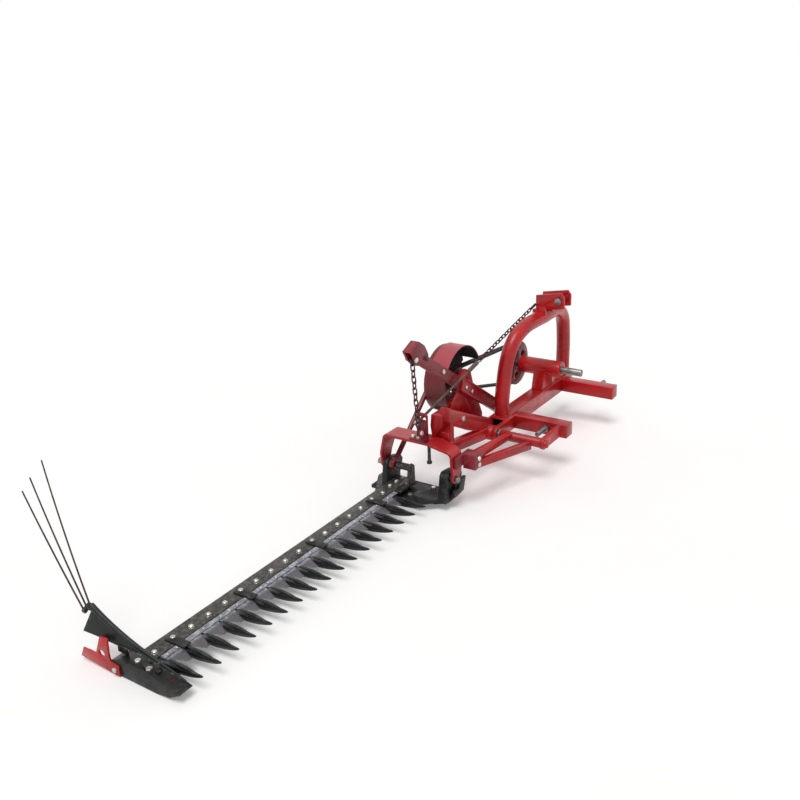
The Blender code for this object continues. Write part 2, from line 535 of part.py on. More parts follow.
half = [(0.326, 0.200, BEAM_Z1 + 0.0003), (0.318, 0.200, 0.290), (0.300, 0.204, 0.370), (0.284, 0.211, 0.445),
        (0.250, 0.217, 0.512), (0.195, 0.225, 0.560), (0.125, 0.234, 0.592), (0.060, 0.240, HEAD_Z - 0.005),
        (0.0, 0.243, HEAD_Z)]
path = [(HITCH_X + x, y, z) for x, y, z in half] + [(HITCH_X - x, y, z) for x, y, z in reversed(half[:-1])]
fine = []
for i in range(len(path) - 1):
    a, b = Vector(path[i]), Vector(path[i + 1])
    m = Vector(path[i - 1]) if i else a + (a - b)
    n = Vector(path[i + 2]) if i < len(path) - 2 else b + (b - a)
    for s in (0.0, 0.5):
        fine.append(0.5 * ((2 * a) + (b - m) * s + (2 * m - 5 * a + 4 * b - n) * s * s + (3 * a - m - 3 * b + n) * s ** 3))
fine.append(Vector(path[-1]))
foot = BEAM_Z1 + GAP
part("headstock_tube", "joint_frame", RED, [tube_path(fine, TUBE_R, 14)],
     [box(-2.8, -1.6, 0.1, 0.3, 0.10, foot)], smooth=40)
PIN_Z = SEAT_Z + 0.0445
side_plate = [(0.222, SEAT_Z + 0.0025), (0.222, SEAT_Z + 0.0605), (0.345, SEAT_Z + 0.0805), (0.360, SEAT_Z + 0.0605),
              (0.360, SEAT_Z + 0.0105), (0.300, SEAT_Z + 0.0010)]
part("top_link_bracket", "joint_frame", RED, [
    prism("x", side_plate, HITCH_X + 0.030, HITCH_X + 0.040),
    prism("x", side_plate, HITCH_X - 0.040, HITCH_X - 0.030),
    box(HITCH_X - 0.035, HITCH_X + 0.035, 0.222, 0.296, SEAT_Z, SEAT_Z + 0.0105)],
    [rod((HITCH_X - 0.1, 0.333, PIN_Z), (HITCH_X + 0.1, 0.333, PIN_Z), 0.0098, 16)])
part("top_link_pin", "joint_frame", STEEL, [
    rod((HITCH_X - 0.056, 0.333, PIN_Z), (HITCH_X + 0.056, 0.333, PIN_Z), 0.0095, 16),
    rod((HITCH_X + 0.0403, 0.333, PIN_Z), (HITCH_X + 0.052, 0.333, PIN_Z), 0.016, 12)])

# Belt drive: input shaft and pulley, driven pulley, flywheel with crank pin, belts and guard
ix, iz = INPUT
dx, dz = DRIVEN


def pulley(cx, cz, rb, bore, grooves, y0, y1, n):
    rf = rb + 0.0125
    prof = [(bore, y0), (rf, y0)]
    for c in grooves:
        prof += [(rf, c - 0.0068), (rb, c - 0.0068), (rb, c + 0.0068), (rf, c + 0.0068)]
    prof += [(rf, y1), (bore, y1)]
    return lathe_y(cx, cz, prof, n)


part("input_shaft", "joint_input", STEEL, [rod((ix, 0.020, iz), (ix, 0.400, iz), 0.0170, 16)], smooth=30)
holes = []
for k in range(5):
    t = 2 * math.pi * k / 5
    c = (ix + 0.058 * math.cos(t), iz + 0.058 * math.sin(t))
    holes.append(rod((c[0], 0.0, c[1]), (c[0], 0.12, c[1]), 0.017, 12))
part("input_pulley", "joint_input", DARK_RED,
     [pulley(ix, iz, BIG_R, 0.0173, BELT_Y, 0.034, 0.071, 32)], holes, smooth=30)
part("input_housing", "joint_frame", RED, [
    rod((ix, 0.090, iz), (ix, 0.300, iz), 0.040, 20),
    prism("y", [(ix - 0.060, BEAM_Z1 + GAP), (ix + 0.060, BEAM_Z1 + GAP), (ix + 0.034, iz), (ix - 0.034, iz)],
          0.172, 0.228)],
    [rod((ix, 0.0, iz), (ix, 0.4, iz), 0.0175, 16)], smooth=30)
part("driven_pulley", "joint_flywheel", DARK_RED,
     [pulley(dx, dz, SMALL_R, 0.0153, BELT_Y, 0.034, 0.071, 24)], smooth=30)
holes = []
for k in range(6):
    t = 2 * math.pi * (k + 0.5) / 6 + 0.35
    c = (dx + 0.097 * math.cos(t), dz + 0.097 * math.sin(t))
    holes.append(rod((c[0], -0.05, c[1]), (c[0], 0.05, c[1]), 0.020, 12))
rim = lathe_y(dx, dz, [(0.012, -0.010), (0.124, -0.010), (0.124, -0.015), (0.147, -0.015), (0.147, 0.006),
                       (0.124, 0.006), (0.124, 0.001), (0.012, 0.001)], 36)
part("flywheel", "joint_flywheel", DARK_RED, [
    rim, rod((dx, -0.016, dz), (dx, 0.1115, dz), 0.0150, 16), rod((dx, -0.016, dz), (dx, 0.0330, dz), 0.030, 16),
    rod((CRANK_PIN[0], 0.0, CRANK_PIN[1]), (CRANK_PIN[0], -0.0177, CRANK_PIN[1]), 0.0240, 16)],
    holes, smooth=30)
part("drive_carrier", "joint_frame", RED, [
    prism("y", [(-1.865, 0.148), (-1.802, 0.148), (-1.600, 0.300), (-1.600, 0.345), (-1.672, 0.400), (-1.676, 0.440),
                (-1.720, 0.466), (-1.764, 0.440), (-1.785, 0.380), (-1.865, 0.212)], 0.0955, 0.1075),
    rod((dx, 0.0800, dz), (dx, 0.1120, dz), 0.040, 20),
    box(-1.846, -1.806, 0.100, 0.1527, 0.150, 0.205)],
    [rod((dx, 0.0, dz), (dx, 0.2, dz), 0.0154, 16)], smooth=30)
ring = arc(dx, dz, 0.1545, -30, 146, 24) + list(reversed(arc(dx, dz, 0.1510, -30, 146, 24)))
part("belt_guard", "joint_frame", RED, [prism("y", ring, 0.0095, 0.0945),
                                        box(-1.655, -1.5870, 0.0750, 0.0952, 0.318, 0.347)], smooth=30)
span = math.hypot(dx - ix, dz - iz)
tilt = math.degrees(math.atan2(dz - iz, dx - ix))
for k, c in enumerate(BELT_Y):
    loops = []
    for extra in (0.0008, 0.0098):
        r0, r1 = SMALL_R + extra, BIG_R + extra
        lean = math.degrees(math.asin((r1 - r0) / span))
        loops.append(arc(dx, dz, r0, tilt - 90 + lean, tilt + 90 - lean, 16)
                     + arc(ix, iz, r1, tilt + 90 - lean, tilt + 270 + lean, 30))
    bm = bmesh.new()
    rows = []
    for loop, y in ((loops[0], c - 0.0060), (loops[1], c - 0.0060), (loops[1], c + 0.0060), (loops[0], c + 0.0060)):
        rows.append([bm.verts.new((x, y, z)) for x, z in loop])
    for i in range(4):
        for j in range(len(rows[0])):
            m = (j + 1) % len(rows[0])
            bm.faces.new((rows[i][j], rows[i][m], rows[(i + 1) % 4][m], rows[(i + 1) % 4][j]))
    part("v_belt_%d" % (k + 1), "joint_frame", RUBBER, [temp(bm)])

# Pitman from the crank pin to the knife head
cx, cz = CRANK_PIN
d = Vector((KNIFE_EYE[0] - cx, 0, KNIFE_EYE[1] - cz)).normalized()
a = Vector((cx, -0.030, cz))
b = Vector((KNIFE_EYE[0], -0.030, KNIFE_EYE[1]))
part("pitman", "joint_pitman", DARK_RED, [
    rod((cx, PITMAN_Y0, cz), (cx, PITMAN_Y1, cz), 0.031, 18), rod((cx, -0.052, cz), (cx, -0.04, cz), 0.017, 6),
    lathe_y(KNIFE_EYE[0], KNIFE_EYE[1], [(0.0110, PITMAN_Y0), (0.024, PITMAN_Y0), (0.024, PITMAN_Y1),
                                         (0.0110, PITMAN_Y1)], 18),
    rod(a + d * 0.022, b - d * 0.018, 0.0115, 10)], smooth=30)

# Lift lever: flat bar with its end plate, the channel it is bolted to, the sheave and the chain
lx, lz = LEVER_HINGE
bx, bz = on_lever(0.239, 0.004)

HALF = 0.026                      # half height of the lever's flat bar
end_plate = ((0.060, -HALF), (0.010, -0.039), (-0.035, -0.032), (-0.080, -0.012), (-0.043, 0.046), (0.003, 0.045),
             (0.050, HALF))
part("lift_lever", "joint_lever", RED, [
    prism("y", [on_lever(0.640, -HALF)] + [on_lever(s, h) for s, h in end_plate] + [on_lever(0.640, HALF)],
          LEVER_Y0, LEVER_Y1),
    rod((bx, LEVER_Y1 - 0.004, bz), (bx, LEVER_Y1 + 0.007, bz), 0.010, 6),
    rod((SHEAVE[0], LEVER_Y0 + 0.002, SHEAVE[1]), (SHEAVE[0], 0.1560, SHEAVE[1]), 0.0080, 12),
    rod((SHEAVE[0], 0.1510, SHEAVE[1]), (SHEAVE[0], 0.1570, SHEAVE[1]), 0.0130, 6)],
    [rod((LEVER_TIP[0], 0.0, LEVER_TIP[1]), (LEVER_TIP[0], 0.2, LEVER_TIP[1]), 0.0100, 14),
     rod((top[0], 0.0, top[1]), (top[0], 0.2, top[1]), 0.0053, 12)])
channel = [(LEVER_Y1 + GAP, -0.028), (0.150, -0.028), (0.150, -0.022), (LEVER_Y1 + 0.006, -0.022),
           (LEVER_Y1 + 0.006, 0.022), (0.150, 0.022), (0.150, 0.028), (LEVER_Y1 + GAP, 0.028)]


def at_lever(s, y, h):
    q = on_lever(s, h)
    return (q[0], y, q[1])


part("lever_channel", "joint_lever", RED, [
    hull_rings([[at_lever(s, y, h) for y, h in channel] for s in (0.425, LEVER_LENGTH + 0.022)]),
    prism("y", [on_lever(0.418, -0.0235), on_lever(0.418, 0.0235), on_lever(0.600, 0.0235), on_lever(0.572, -0.0235)],
          LEVER_Y1 + GAP, LEVER_Y1 + 0.0105)]
    + [rod((x, LEVER_Y1 + 0.009, z), (x, LEVER_Y1 + 0.0155, z), 0.010, 6)
       for x, z in (on_lever(0.450, -0.004), on_lever(0.506, -0.004))],
    [rod((lx, 0.0, lz), (lx, 0.3, lz), 0.0123, 14)])
part("lever_pin", "joint_frame", STEEL, [rod((lx, LEVER_Y1 - 0.006, lz), (lx, 0.1647, lz), 0.0120, 14),
                                         rod((lx, 0.1345, lz), (lx, 0.1460, lz), 0.019, 6)])
sx, sz = SHEAVE
part("chain_sheave", "joint_sheave", BLACK, [
    lathe_y(sx, sz, [(0.0083, 0.1268), (0.029, 0.1268), (0.029, 0.1300), (0.023, 0.1350), (0.023, 0.1420),
                     (0.029, 0.1470), (0.029, 0.1500), (0.0083, 0.1500)], 24)], smooth=30)


def link(centre, direction, turn, size=1.0):
    """Oval chain link, its long side along direction, turned about it."""
    d = Vector(direction).normalized()
    e = turn - d * turn.dot(d)
    e.normalize()
    f = d.cross(e)
    hl, hw, r = 0.0060 * size, 0.0080 * size, CHAIN_W * size
    pts = []
    for i in range(8):
        t = 2 * math.pi * (i + 0.5) / 8
        pts.append((hl * (1 if math.cos(t) > 0 else -1) + hw * math.cos(t), hw * math.sin(t)))
    rings = []
    for i, (s, h) in enumerate(pts):
        before, after = Vector(pts[i - 1]), Vector(pts[(i + 1) % 8])
        tangent = (after - before).normalized()
        out = Vector((tangent.y, -tangent.x))
        c = Vector(centre) + d * s + e * h
        nrm = d * out.x + e * out.y
        rings.append([c + r * (math.cos(a) * nrm + math.sin(a) * f) for a in (math.pi * k / 2 for k in range(4))])
    return hull_rings(rings, closed=True)


def chain(start, end, count, turn):
    a, b = Vector(start), Vector(end)
    d = (b - a).normalized()
    other = d.cross(turn)
    step = (b - a) / (count - 1)
    size = step.length / CHAIN_P
    return [link(a + step * i, d, turn if i % 2 == 0 else other, size) for i in range(count)]


links = chain((top[0], CHAIN_Y, top[1] - 0.011), (kx, CHAIN_Y, kz + 0.0068), 13, Vector((1, 0, 0)))
part("lift_chain", "joint_chain", CHAIN, links + [
    rod((top[0], LEVER_Y0 - 0.006, top[1]), (top[0], CHAIN_Y + 0.005, top[1]), 0.0050, 12),
    rod((top[0], LEVER_Y0 - 0.006, top[1]), (top[0], LEVER_Y0 - GAP, top[1]), 0.0090, 6)])

# Stay from the headstock to the yoke: a chain and a rod that slides in its lug
sa, sb = STAY_TOP, STAY_EYE
sd = (sb - sa).normalized()
reach = (sb - sa).length
bend = sd.cross(Vector((0, 1, 0))).normalized()
part("stay_chain", "joint_stay", CHAIN,
     chain(sa + sd * 0.055, sa + sd * 0.452, 18, bend) + [rod(sa + sd * 0.0430, sa, 0.0060, 8)])
part("stay_rod", "joint_stay", STEEL, [
    rod(sa + sd * 0.4700, sa + sd * (reach + 0.048), 0.0060, 10),
    rod(sa + sd * 0.4690, sa + sd * 0.500, 0.0095, 10),
    rod(sa + sd * 0.700, sa + sd * 0.765, 0.0095, 6),
    rod(sa + sd * (reach + 0.030), sa + sd * (reach + 0.042), 0.0115, 6)])

bpy.data.collections.remove(work)
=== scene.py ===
"""Looks of the sickle bar mower: materials, broken edges, chains, guards, knife, bolts, light and camera.

Layout numbers are those of the part: X along the cutter bar from the outermost guard, Y in the direction of
travel from the guard bolts, Z up from the ground. at() turns them into the frame's own coordinates, whose
origin is the middle of the line through the lower hitch pins.
"""
import json
import math

import bmesh
import bpy
from mathutils import Matrix, Vector, noise
from mathutils.geometry import tessellate_polygon


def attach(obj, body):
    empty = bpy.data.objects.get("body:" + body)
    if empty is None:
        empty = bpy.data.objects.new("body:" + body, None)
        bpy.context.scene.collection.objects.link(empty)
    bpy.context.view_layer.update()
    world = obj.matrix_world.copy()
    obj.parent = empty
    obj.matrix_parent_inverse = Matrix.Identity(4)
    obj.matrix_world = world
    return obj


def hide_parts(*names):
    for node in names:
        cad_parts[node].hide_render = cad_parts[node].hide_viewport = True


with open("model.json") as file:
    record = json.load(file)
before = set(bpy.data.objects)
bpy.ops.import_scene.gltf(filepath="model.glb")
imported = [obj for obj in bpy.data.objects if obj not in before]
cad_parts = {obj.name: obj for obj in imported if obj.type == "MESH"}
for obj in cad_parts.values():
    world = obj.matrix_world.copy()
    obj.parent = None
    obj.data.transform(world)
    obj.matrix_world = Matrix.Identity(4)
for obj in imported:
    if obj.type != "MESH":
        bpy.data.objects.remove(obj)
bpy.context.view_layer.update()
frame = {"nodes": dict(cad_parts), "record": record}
BODY_OF = {node: body for body, nodes in frame["record"]["behaviour"]["bodies"].items() for node in nodes}
scene = bpy.context.scene

UP = Vector((0, 0, 1))
FWD = Vector((0, 1, 0))
BACK = Vector((0, -1, 0))
OUT = Vector((1, 0, 0))

# Driving sizes, in metres
PITCH = 0.0762                            # spacing of the guard fingers
FINGERS = 17
CLIPS = (1, 5, 10, 15)                    # fingers whose bolt holds a clip
HITCH_X, HITCH_Y, HITCH_Z = -2.200, 0.450, 0.180
BEAM_TOP = 0.215
TUBE_R = 0.033                            # headstock tube
SHAFT_X, SHAFT_Z = -1.720, 0.410          # flywheel shaft
BAR_X0, BAR_X1 = -1.400, 0.0217
BAR_Y0, BAR_Y1 = -0.0450, 0.0220
BAR_LOW, BAR_TOP = 0.0502, 0.0620
CLIP_TOP, DECK_TOP = 0.0704, 0.0440       # upper faces of a hold-down clip and of the inner shoe
KNIFE_LOW, KNIFE_TOP = 0.05625, 0.0586
LEVER_HINGE, LEVER_TIP = Vector((-2.005, 0.182)), Vector((-1.300, 0.653))
LEVER_FACE, CHANNEL_FACE = 0.1260, 0.1365 # y of the front faces of the lever and of its channel
SHEAVE_X, SHEAVE_Z = -1.332, 0.636
CHAIN_Y = 0.1378                          # plane of the lift chain
ANCHOR_X, ANCHOR_Z = -1.292, 0.335        # pin at the foot of the lift chain
ANCHOR_FOOT_X, ANCHOR_FOOT_TOP = -1.336, 0.2870
STAY_TOP, STAY_EYE = Vector((-2.170, 0.2161, 0.655)), Vector((-1.360, 0.110, 0.368))
BRACKET_X, BRACKET_T = 0.0783, 0.0060     # skid bracket
OFFSET = Vector((-HITCH_X, -HITCH_Y, -HITCH_Z))

# Limits for finishing a CAD node's own mesh
MERGE = 0.00002                           # vertices this close are one
FLAT = math.radians(0.4)                  # faces that meet at less than this are one
SHARP = math.radians(33)                  # edges that turn more than this are broken


def at(x, y, z):
    """Frame point of a layout point."""
    return Vector((x, y, z)) + OFFSET


def ring_at_x(x, pairs):
    """Points at one x from their (y, z) pairs."""
    return [at(x, y, z) for y, z in pairs]


def ring_at_z(z, pairs):
    """Points at one height from their (x, y) pairs."""
    return [at(x, y, z) for x, y in pairs]


def angles(count, shift=0.0):
    """Angles spread evenly over a full turn."""
    return [2 * math.pi * (k + shift) / count for k in range(count)]


def finger_x(i):
    """Middle of finger i, counted from the outermost one."""
    return -i * PITCH


# Materials
def srgb(r, g, b):
    """Linear colour of an 8-bit one."""
    out = []
    for v in (r, g, b):
        v /= 255
        out.append(v / 12.92 if v <= 0.04045 else ((v + 0.055) / 1.055) ** 2.4)
    return (*out, 1.0)


class Nodes:
    """Short ways to add nodes to a node tree."""

    def __init__(self, tree):
        self.tree = tree

    def add(self, kind):
        return self.tree.nodes.new(kind)

    def put(self, socket, value):
        """Link an output to an input, or set the input to a number."""
        if isinstance(value, bpy.types.NodeSocket):
            self.tree.links.new(value, socket)
        else:
            socket.default_value = value

    def ramp(self, source, low, high, a=0.0, b=1.0):
        """Smooth step of a value from low to high, as numbers from a to b."""
        node = self.add("ShaderNodeMapRange")
        node.interpolation_type = "SMOOTHSTEP"
        self.put(node.inputs["Value"], source)
        self.put(node.inputs["From Min"], low)
        self.put(node.inputs["From Max"], high)
        self.put(node.inputs["To Min"], a)
        self.put(node.inputs["To Max"], b)
        return node.outputs["Result"]

    def calc(self, a, b, operation="MULTIPLY"):
        node = self.add("ShaderNodeMath")
        node.operation = operation
        self.put(node.inputs[0], a)
        self.put(node.inputs[1], b)
        return node.outputs[0]

    def seen(self):
        """1 for what the camera sees, also in a gloss or through glass, and 0 for light on the model."""
        rays = self.add("ShaderNodeLightPath").outputs
        view = self.calc(rays["Is Camera Ray"], rays["Is Glossy Ray"], "MAXIMUM")
        return self.calc(view, rays["Is Transmission Ray"], "MAXIMUM")


class Shader(Nodes):
    """A material's node tree. Its colours are given in 8 bits."""

    def __init__(self, name):
        self.mat = bpy.data.materials.new(name)
        self.mat.use_nodes = True
        super().__init__(self.mat.node_tree)
        self.bsdf = self.tree.nodes["Principled BSDF"]
        self.coord = self.add("ShaderNodeTexCoord").outputs["Object"]

    def noise(self, scale, detail=3.0, rough=0.55, stretch=None):
        node = self.add("ShaderNodeTexNoise")
        source = self.coord
        if stretch:
            mapping = self.add("ShaderNodeMapping")
            self.put(mapping.inputs["Scale"], stretch)
            self.put(mapping.inputs["Vector"], source)
            source = mapping.outputs["Vector"]
        self.put(node.inputs["Vector"], source)
        self.put(node.inputs["Scale"], scale)
        self.put(node.inputs["Detail"], detail)
        self.put(node.inputs["Roughness"], rough)
        return node.outputs["Fac"]

    def speckle(self, scale, detail, rough, low, high, share=1.0):
        """Noise made into patches: 0 below low, rising to share above high."""
        return self.ramp(self.noise(scale, detail, rough), low, high, 0.0, share)

    def mix(self, share, a, b):
        """Blend of two colours, each an output or an 8-bit triple."""
        node = self.add("ShaderNodeMix")
        node.data_type = "RGBA"
        self.put(node.inputs["Factor"], share)
        for socket, colour in (("A", a), ("B", b)):
            ready = isinstance(colour, bpy.types.NodeSocket)
            self.put(node.inputs[socket], colour if ready else srgb(*colour))
        return node.outputs["Result"]

    def edges(self, low, high):
        return self.ramp(self.add("ShaderNodeNewGeometry").outputs["Pointiness"], low, high)

    def part_of(self, vector, axis):
        split = self.add("ShaderNodeSeparateXYZ")
        self.put(split.inputs[0], vector)
        return split.outputs[axis]

    def upward(self, low, high):
        return self.ramp(self.part_of(self.add("ShaderNodeNewGeometry").outputs["Normal"], "Z"), low, high)

    def along_y(self):
        """The frame's Y of the surface, which moves with the body that carries it."""
        return self.part_of(self.coord, "Y")

    def bump(self, height, distance, strength):
        node = self.add("ShaderNodeBump")
        self.put(node.inputs["Distance"], distance)
        self.put(node.inputs["Strength"], strength)
        self.put(node.inputs["Height"], height)
        self.put(self.bsdf.inputs["Normal"], node.outputs["Normal"])

    def finish(self, colour, rough, metal=0.0, specular=0.5, coat=0.0):
        self.put(self.bsdf.inputs["Base Color"], colour)
        self.put(self.bsdf.inputs["Roughness"], rough)
        self.put(self.bsdf.inputs["Metallic"], metal)
        self.put(self.bsdf.inputs["Specular IOR Level"], specular)
        self.put(self.bsdf.inputs["Coat Weight"], coat)
        self.put(self.bsdf.inputs["Coat Roughness"], 0.22)
        return self.mat


PRIMER = (96, 60, 56)
BARE_IRON = (112, 110, 108)
RUST = (98, 62, 44)


def paint(name, fresh, deep, sheen_and_fade, dust, rough=(0.26, 0.40), sun=(0.10, 0.50)):
    """Glossy enamel: uneven, lighter on faces turned to the sky (painted sky sheen, with sun fading),
    thinly dusty, rubbed to the primer on sharp edges.
    """
    s = Shader(name)
    colour = s.mix(s.speckle(6.0, 4.0, 0.6, 0.36, 0.66), fresh, deep)
    # Upward faces blend towards the lighter colour: painted sky sheen, with sun fading.
    sky_sheen = s.calc(s.upward(0.35, 0.95), s.ramp(s.noise(9.0, 5.0, 0.6), 0.20, 0.75, *sun))
    colour = s.mix(sky_sheen, colour, sheen_and_fade)
    grime = s.calc(s.speckle(26.0, 6.0, 0.72, 0.54, 0.78), s.ramp(s.noise(4.0, 2.0), 0.40, 0.70, 0.0, 0.30))
    colour = s.mix(grime, colour, dust)
    rubbed = s.calc(s.edges(0.540, 0.60), s.speckle(60.0, 4.0, 0.7, 0.52, 0.66, 0.60))
    colour = s.mix(rubbed, colour, PRIMER)
    gloss = s.calc(s.ramp(s.noise(18.0, 4.0), 0.3, 0.7, *rough), s.calc(grime, 0.7), "ADD")
    peel = s.calc(s.noise(420.0, 2.0), s.calc(s.noise(70.0, 3.0), 1.6), "ADD")
    s.bump(peel, 0.00014, 0.30)
    return s.finish(colour, gloss, 0.0, 0.38, 0.15)


def casting(name, base, worn, dust, depth=0.0006, soil_and_sheen_share=0.35, rough=(0.34, 0.58), bare_share=0.7,
            nose=None):
    """Black painted casting or forging with a grainy skin, rubbed edges, and a pale colour on upward faces:
    dry soil, and on the guards a painted sky sheen as well.

    nose is an optional (start, end, colour) of old paint on a stretch along the layout's Y.
    """
    s = Shader(name)
    colour = s.mix(s.speckle(10.0, 5.0, 0.6, 0.38, 0.68), base, worn)
    if nose:
        start, end, tint = nose
        starts = s.ramp(s.along_y(), start - HITCH_Y, start - HITCH_Y + 0.006)
        ends = s.ramp(s.along_y(), end - HITCH_Y, end - HITCH_Y + 0.006, 1.0, 0.0)
        chips = s.ramp(s.noise(34.0, 5.0, 0.7), 0.34, 0.56, 0.10, 0.7)
        colour = s.mix(s.calc(s.calc(starts, ends), chips), colour, tint)
    # Pale colour on upward faces: dry soil, and on the guards a painted sky sheen on the fingers' tops.
    soil_and_sheen = s.calc(s.upward(0.10, 0.95), s.speckle(24.0, 6.0, 0.72, 0.46, 0.76, soil_and_sheen_share))
    colour = s.mix(soil_and_sheen, colour, dust)
    bare = s.calc(s.edges(0.53, 0.58), s.speckle(70.0, 4.0, 0.7, 0.46, 0.62, bare_share))
    colour = s.mix(bare, colour, BARE_IRON)
    gloss = s.ramp(s.noise(30.0, 4.0), 0.3, 0.7, *rough)
    s.bump(s.calc(s.noise(260.0, 3.0), s.noise(90.0, 4.0), "ADD"), depth, 0.5)
    return s.finish(colour, gloss, s.calc(bare, 0.8), 0.32)


def metal(name, light, dark, rough, stretch=None, rust=0.0, grain=180.0, shine=0.92):
    """Bare or plated steel with drawn grain, tarnish and a little rust."""
    s = Shader(name)
    colour = s.mix(s.speckle(30.0, 5.0, 0.65, 0.35, 0.70), light, dark)
    scratches = s.noise(grain, 3.0, 0.6, stretch)
    colour = s.mix(s.ramp(scratches, 0.45, 0.75, 0.0, 0.30), colour, dark)
    spots = s.speckle(60.0, 6.0, 0.72, 0.60 - 0.1 * rust, 0.78, rust)
    colour = s.mix(spots, colour, RUST)
    gloss = s.calc(s.ramp(scratches, 0.3, 0.7, *rough), s.calc(spots, 0.4), "ADD")
    s.bump(scratches, 0.0002, 0.35)
    return s.finish(colour, gloss, s.calc(s.calc(1.0, spots, "SUBTRACT"), shine))


def mottled(name, light, dark, rough=(0.34, 0.55), shine=0.55):
    """Oiled steel, blotched blue grey where dirt has dried on it."""
    s = Shader(name)
    colour = s.mix(s.speckle(55.0, 6.0, 0.74, 0.40, 0.62), dark, light)
    colour = s.mix(s.speckle(240.0, 3.0, 0.7, 0.60, 0.68, 0.75), colour, (186, 186, 190))
    stain = s.speckle(18.0, 5.0, 0.7, 0.56, 0.74, 0.6)
    colour = s.mix(stain, colour, (58, 50, 46))
    gloss = s.calc(s.ramp(s.noise(40.0, 4.0), 0.3, 0.7, *rough), s.calc(stain, 0.3), "ADD")
    s.bump(s.calc(s.noise(200.0, 4.0, 0.7), s.noise(60.0, 3.0), "ADD"), 0.0004, 0.5)
    return s.finish(colour, gloss, s.calc(s.calc(1.0, stain, "SUBTRACT"), shine))


def blades(name):
    """Knife sections: blotched and light along the knife back, darker towards the tips."""
    s = Shader(name)
    base = s.mix(s.speckle(80.0, 6.0, 0.78, 0.42, 0.58), (112, 114, 122), (172, 174, 182))
    base = s.mix(s.speckle(230.0, 3.0, 0.7, 0.60, 0.68, 0.75), base, (190, 190, 194))
    grain = s.noise(180.0, 3.0, 0.6, (0.6, 6.0, 1.0))
    blade = s.mix(s.ramp(grain, 0.4, 0.7), (98, 94, 98), (56, 52, 54))
    uneven_y = s.calc(s.along_y(), s.calc(s.noise(45.0, 4.0), 0.03), "ADD")
    tip = s.ramp(uneven_y, 0.062 - HITCH_Y, 0.082 - HITCH_Y)
    colour = s.mix(tip, base, blade)
    colour = s.mix(s.speckle(50.0, 6.0, 0.72, 0.58, 0.76, 0.5), colour, (72, 54, 48))
    s.bump(s.calc(grain, s.noise(90.0, 4.0), "ADD"), 0.0003, 0.4)
    return s.finish(colour, s.ramp(s.noise(40.0), 0.3, 0.7, 0.36, 0.58), 0.15)


def rubber(name):
    """Matt black, ribbed finely along one axis."""
    s = Shader(name)
    colour = s.mix(s.ramp(s.noise(40.0, 4.0), 0.35, 0.7), (30, 29, 29), (52, 49, 47))
    s.bump(s.noise(500.0, 2.0, 0.5, (1.0, 6.0, 1.0)), 0.0003, 0.5)
    return s.finish(colour, s.ramp(s.noise(60.0), 0.3, 0.7, 0.62, 0.85), 0.0, 0.3)


RED = paint("red_enamel", (188, 14, 20), (158, 12, 22), (184, 58, 58), (138, 92, 84))
# Lever channel: much of its top takes the lighter colour, a painted sky sheen.
CHANNEL = paint("red_enamel_sky_sheen", (184, 30, 40), (150, 34, 44), (142, 88, 86), (132, 92, 84),
                sun=(0.35, 0.90))
MAGENTA = paint("dull_red_enamel", (136, 20, 36), (110, 14, 30), (152, 58, 66), (122, 80, 78), (0.34, 0.48))
# Lighter, pinker copy of the red for the upper belt guard band: painted sky sheen.
SHEEN_RED = paint("red_enamel_painted_sheen", (176, 62, 74), (164, 50, 62), (186, 96, 104), (150, 106, 104),
             (0.38, 0.50))
# Darker copy of the red for the parts in and under the belt guard: painted shade.
SHADED_RED = paint("red_enamel_painted_shade", (116, 16, 24), (92, 16, 24), (132, 60, 58), (92, 62, 58), (0.32, 0.48))
BLACK = casting("black_casting_skin", (13, 14, 15), (25, 26, 27), (84, 78, 70), soil_and_sheen_share=0.26)
# Guards: the pale colour on upward faces is a painted sky sheen on the fingers' tops, with soil.
GUARD = casting("guard_forging", (12, 13, 15), (26, 28, 31), (110, 105, 102), 0.0003, 0.60, (0.26, 0.46),
                0.6)
SHOE = casting("outer_shoe_skin", (13, 15, 15), (26, 28, 28), (80, 76, 68), soil_and_sheen_share=0.24,
               nose=(0.120, 0.128, (80, 18, 30)))
BAR = casting("bar_plate_skin", (44, 42, 38), (68, 65, 59), (112, 106, 94), 0.0005, 0.55, (0.40, 0.62))
BOARD = casting("board_sheet_skin", (18, 22, 21), (33, 38, 36), (80, 78, 70), 0.0003, 0.24, (0.32, 0.52))
ZINC = metal("zinc_plate", (214, 212, 206), (166, 162, 154), (0.24, 0.42), rust=0.15)
STEEL = metal("turned_steel", (150, 148, 146), (104, 101, 98), (0.25, 0.45), (1.0, 9.0, 1.0), 0.2)
DULL = metal("oiled_bolt_steel", (86, 82, 80), (52, 48, 46), (0.34, 0.55), rust=0.5)
BLADE = metal("blade_steel", (112, 112, 118), (64, 63, 66), (0.30, 0.52), (0.6, 6.0, 1.0), 0.5)
KNIFE_BACK = mottled("knife_back_steel", (176, 178, 186), (108, 110, 118), shine=0.15)
SECTION = blades("section_steel")
OILY = mottled("oily_head_steel", (62, 58, 56), (30, 28, 28), (0.25, 0.42), 0.4)
# Matt black for the inside of the belt guard and the mouth of the board's roll: painted shade.
SHADE_BLACK = rubber("painted_shade_black")
CHAIN = metal("chain_links", (88, 50, 58), (52, 28, 34), (0.35, 0.55), None, 0.5, 300.0, 0.6)
DARK_ROD = metal("stay_rod_steel", (110, 92, 84), (74, 58, 54), (0.32, 0.52), (1.0, 1.0, 7.0), 0.4,
                 shine=0.7)
SPRING = metal("spring_rod_steel", (92, 74, 68), (56, 42, 38), (0.40, 0.60), rust=0.6, shine=0.7)
RUBBER = rubber("belt_rubber_skin")


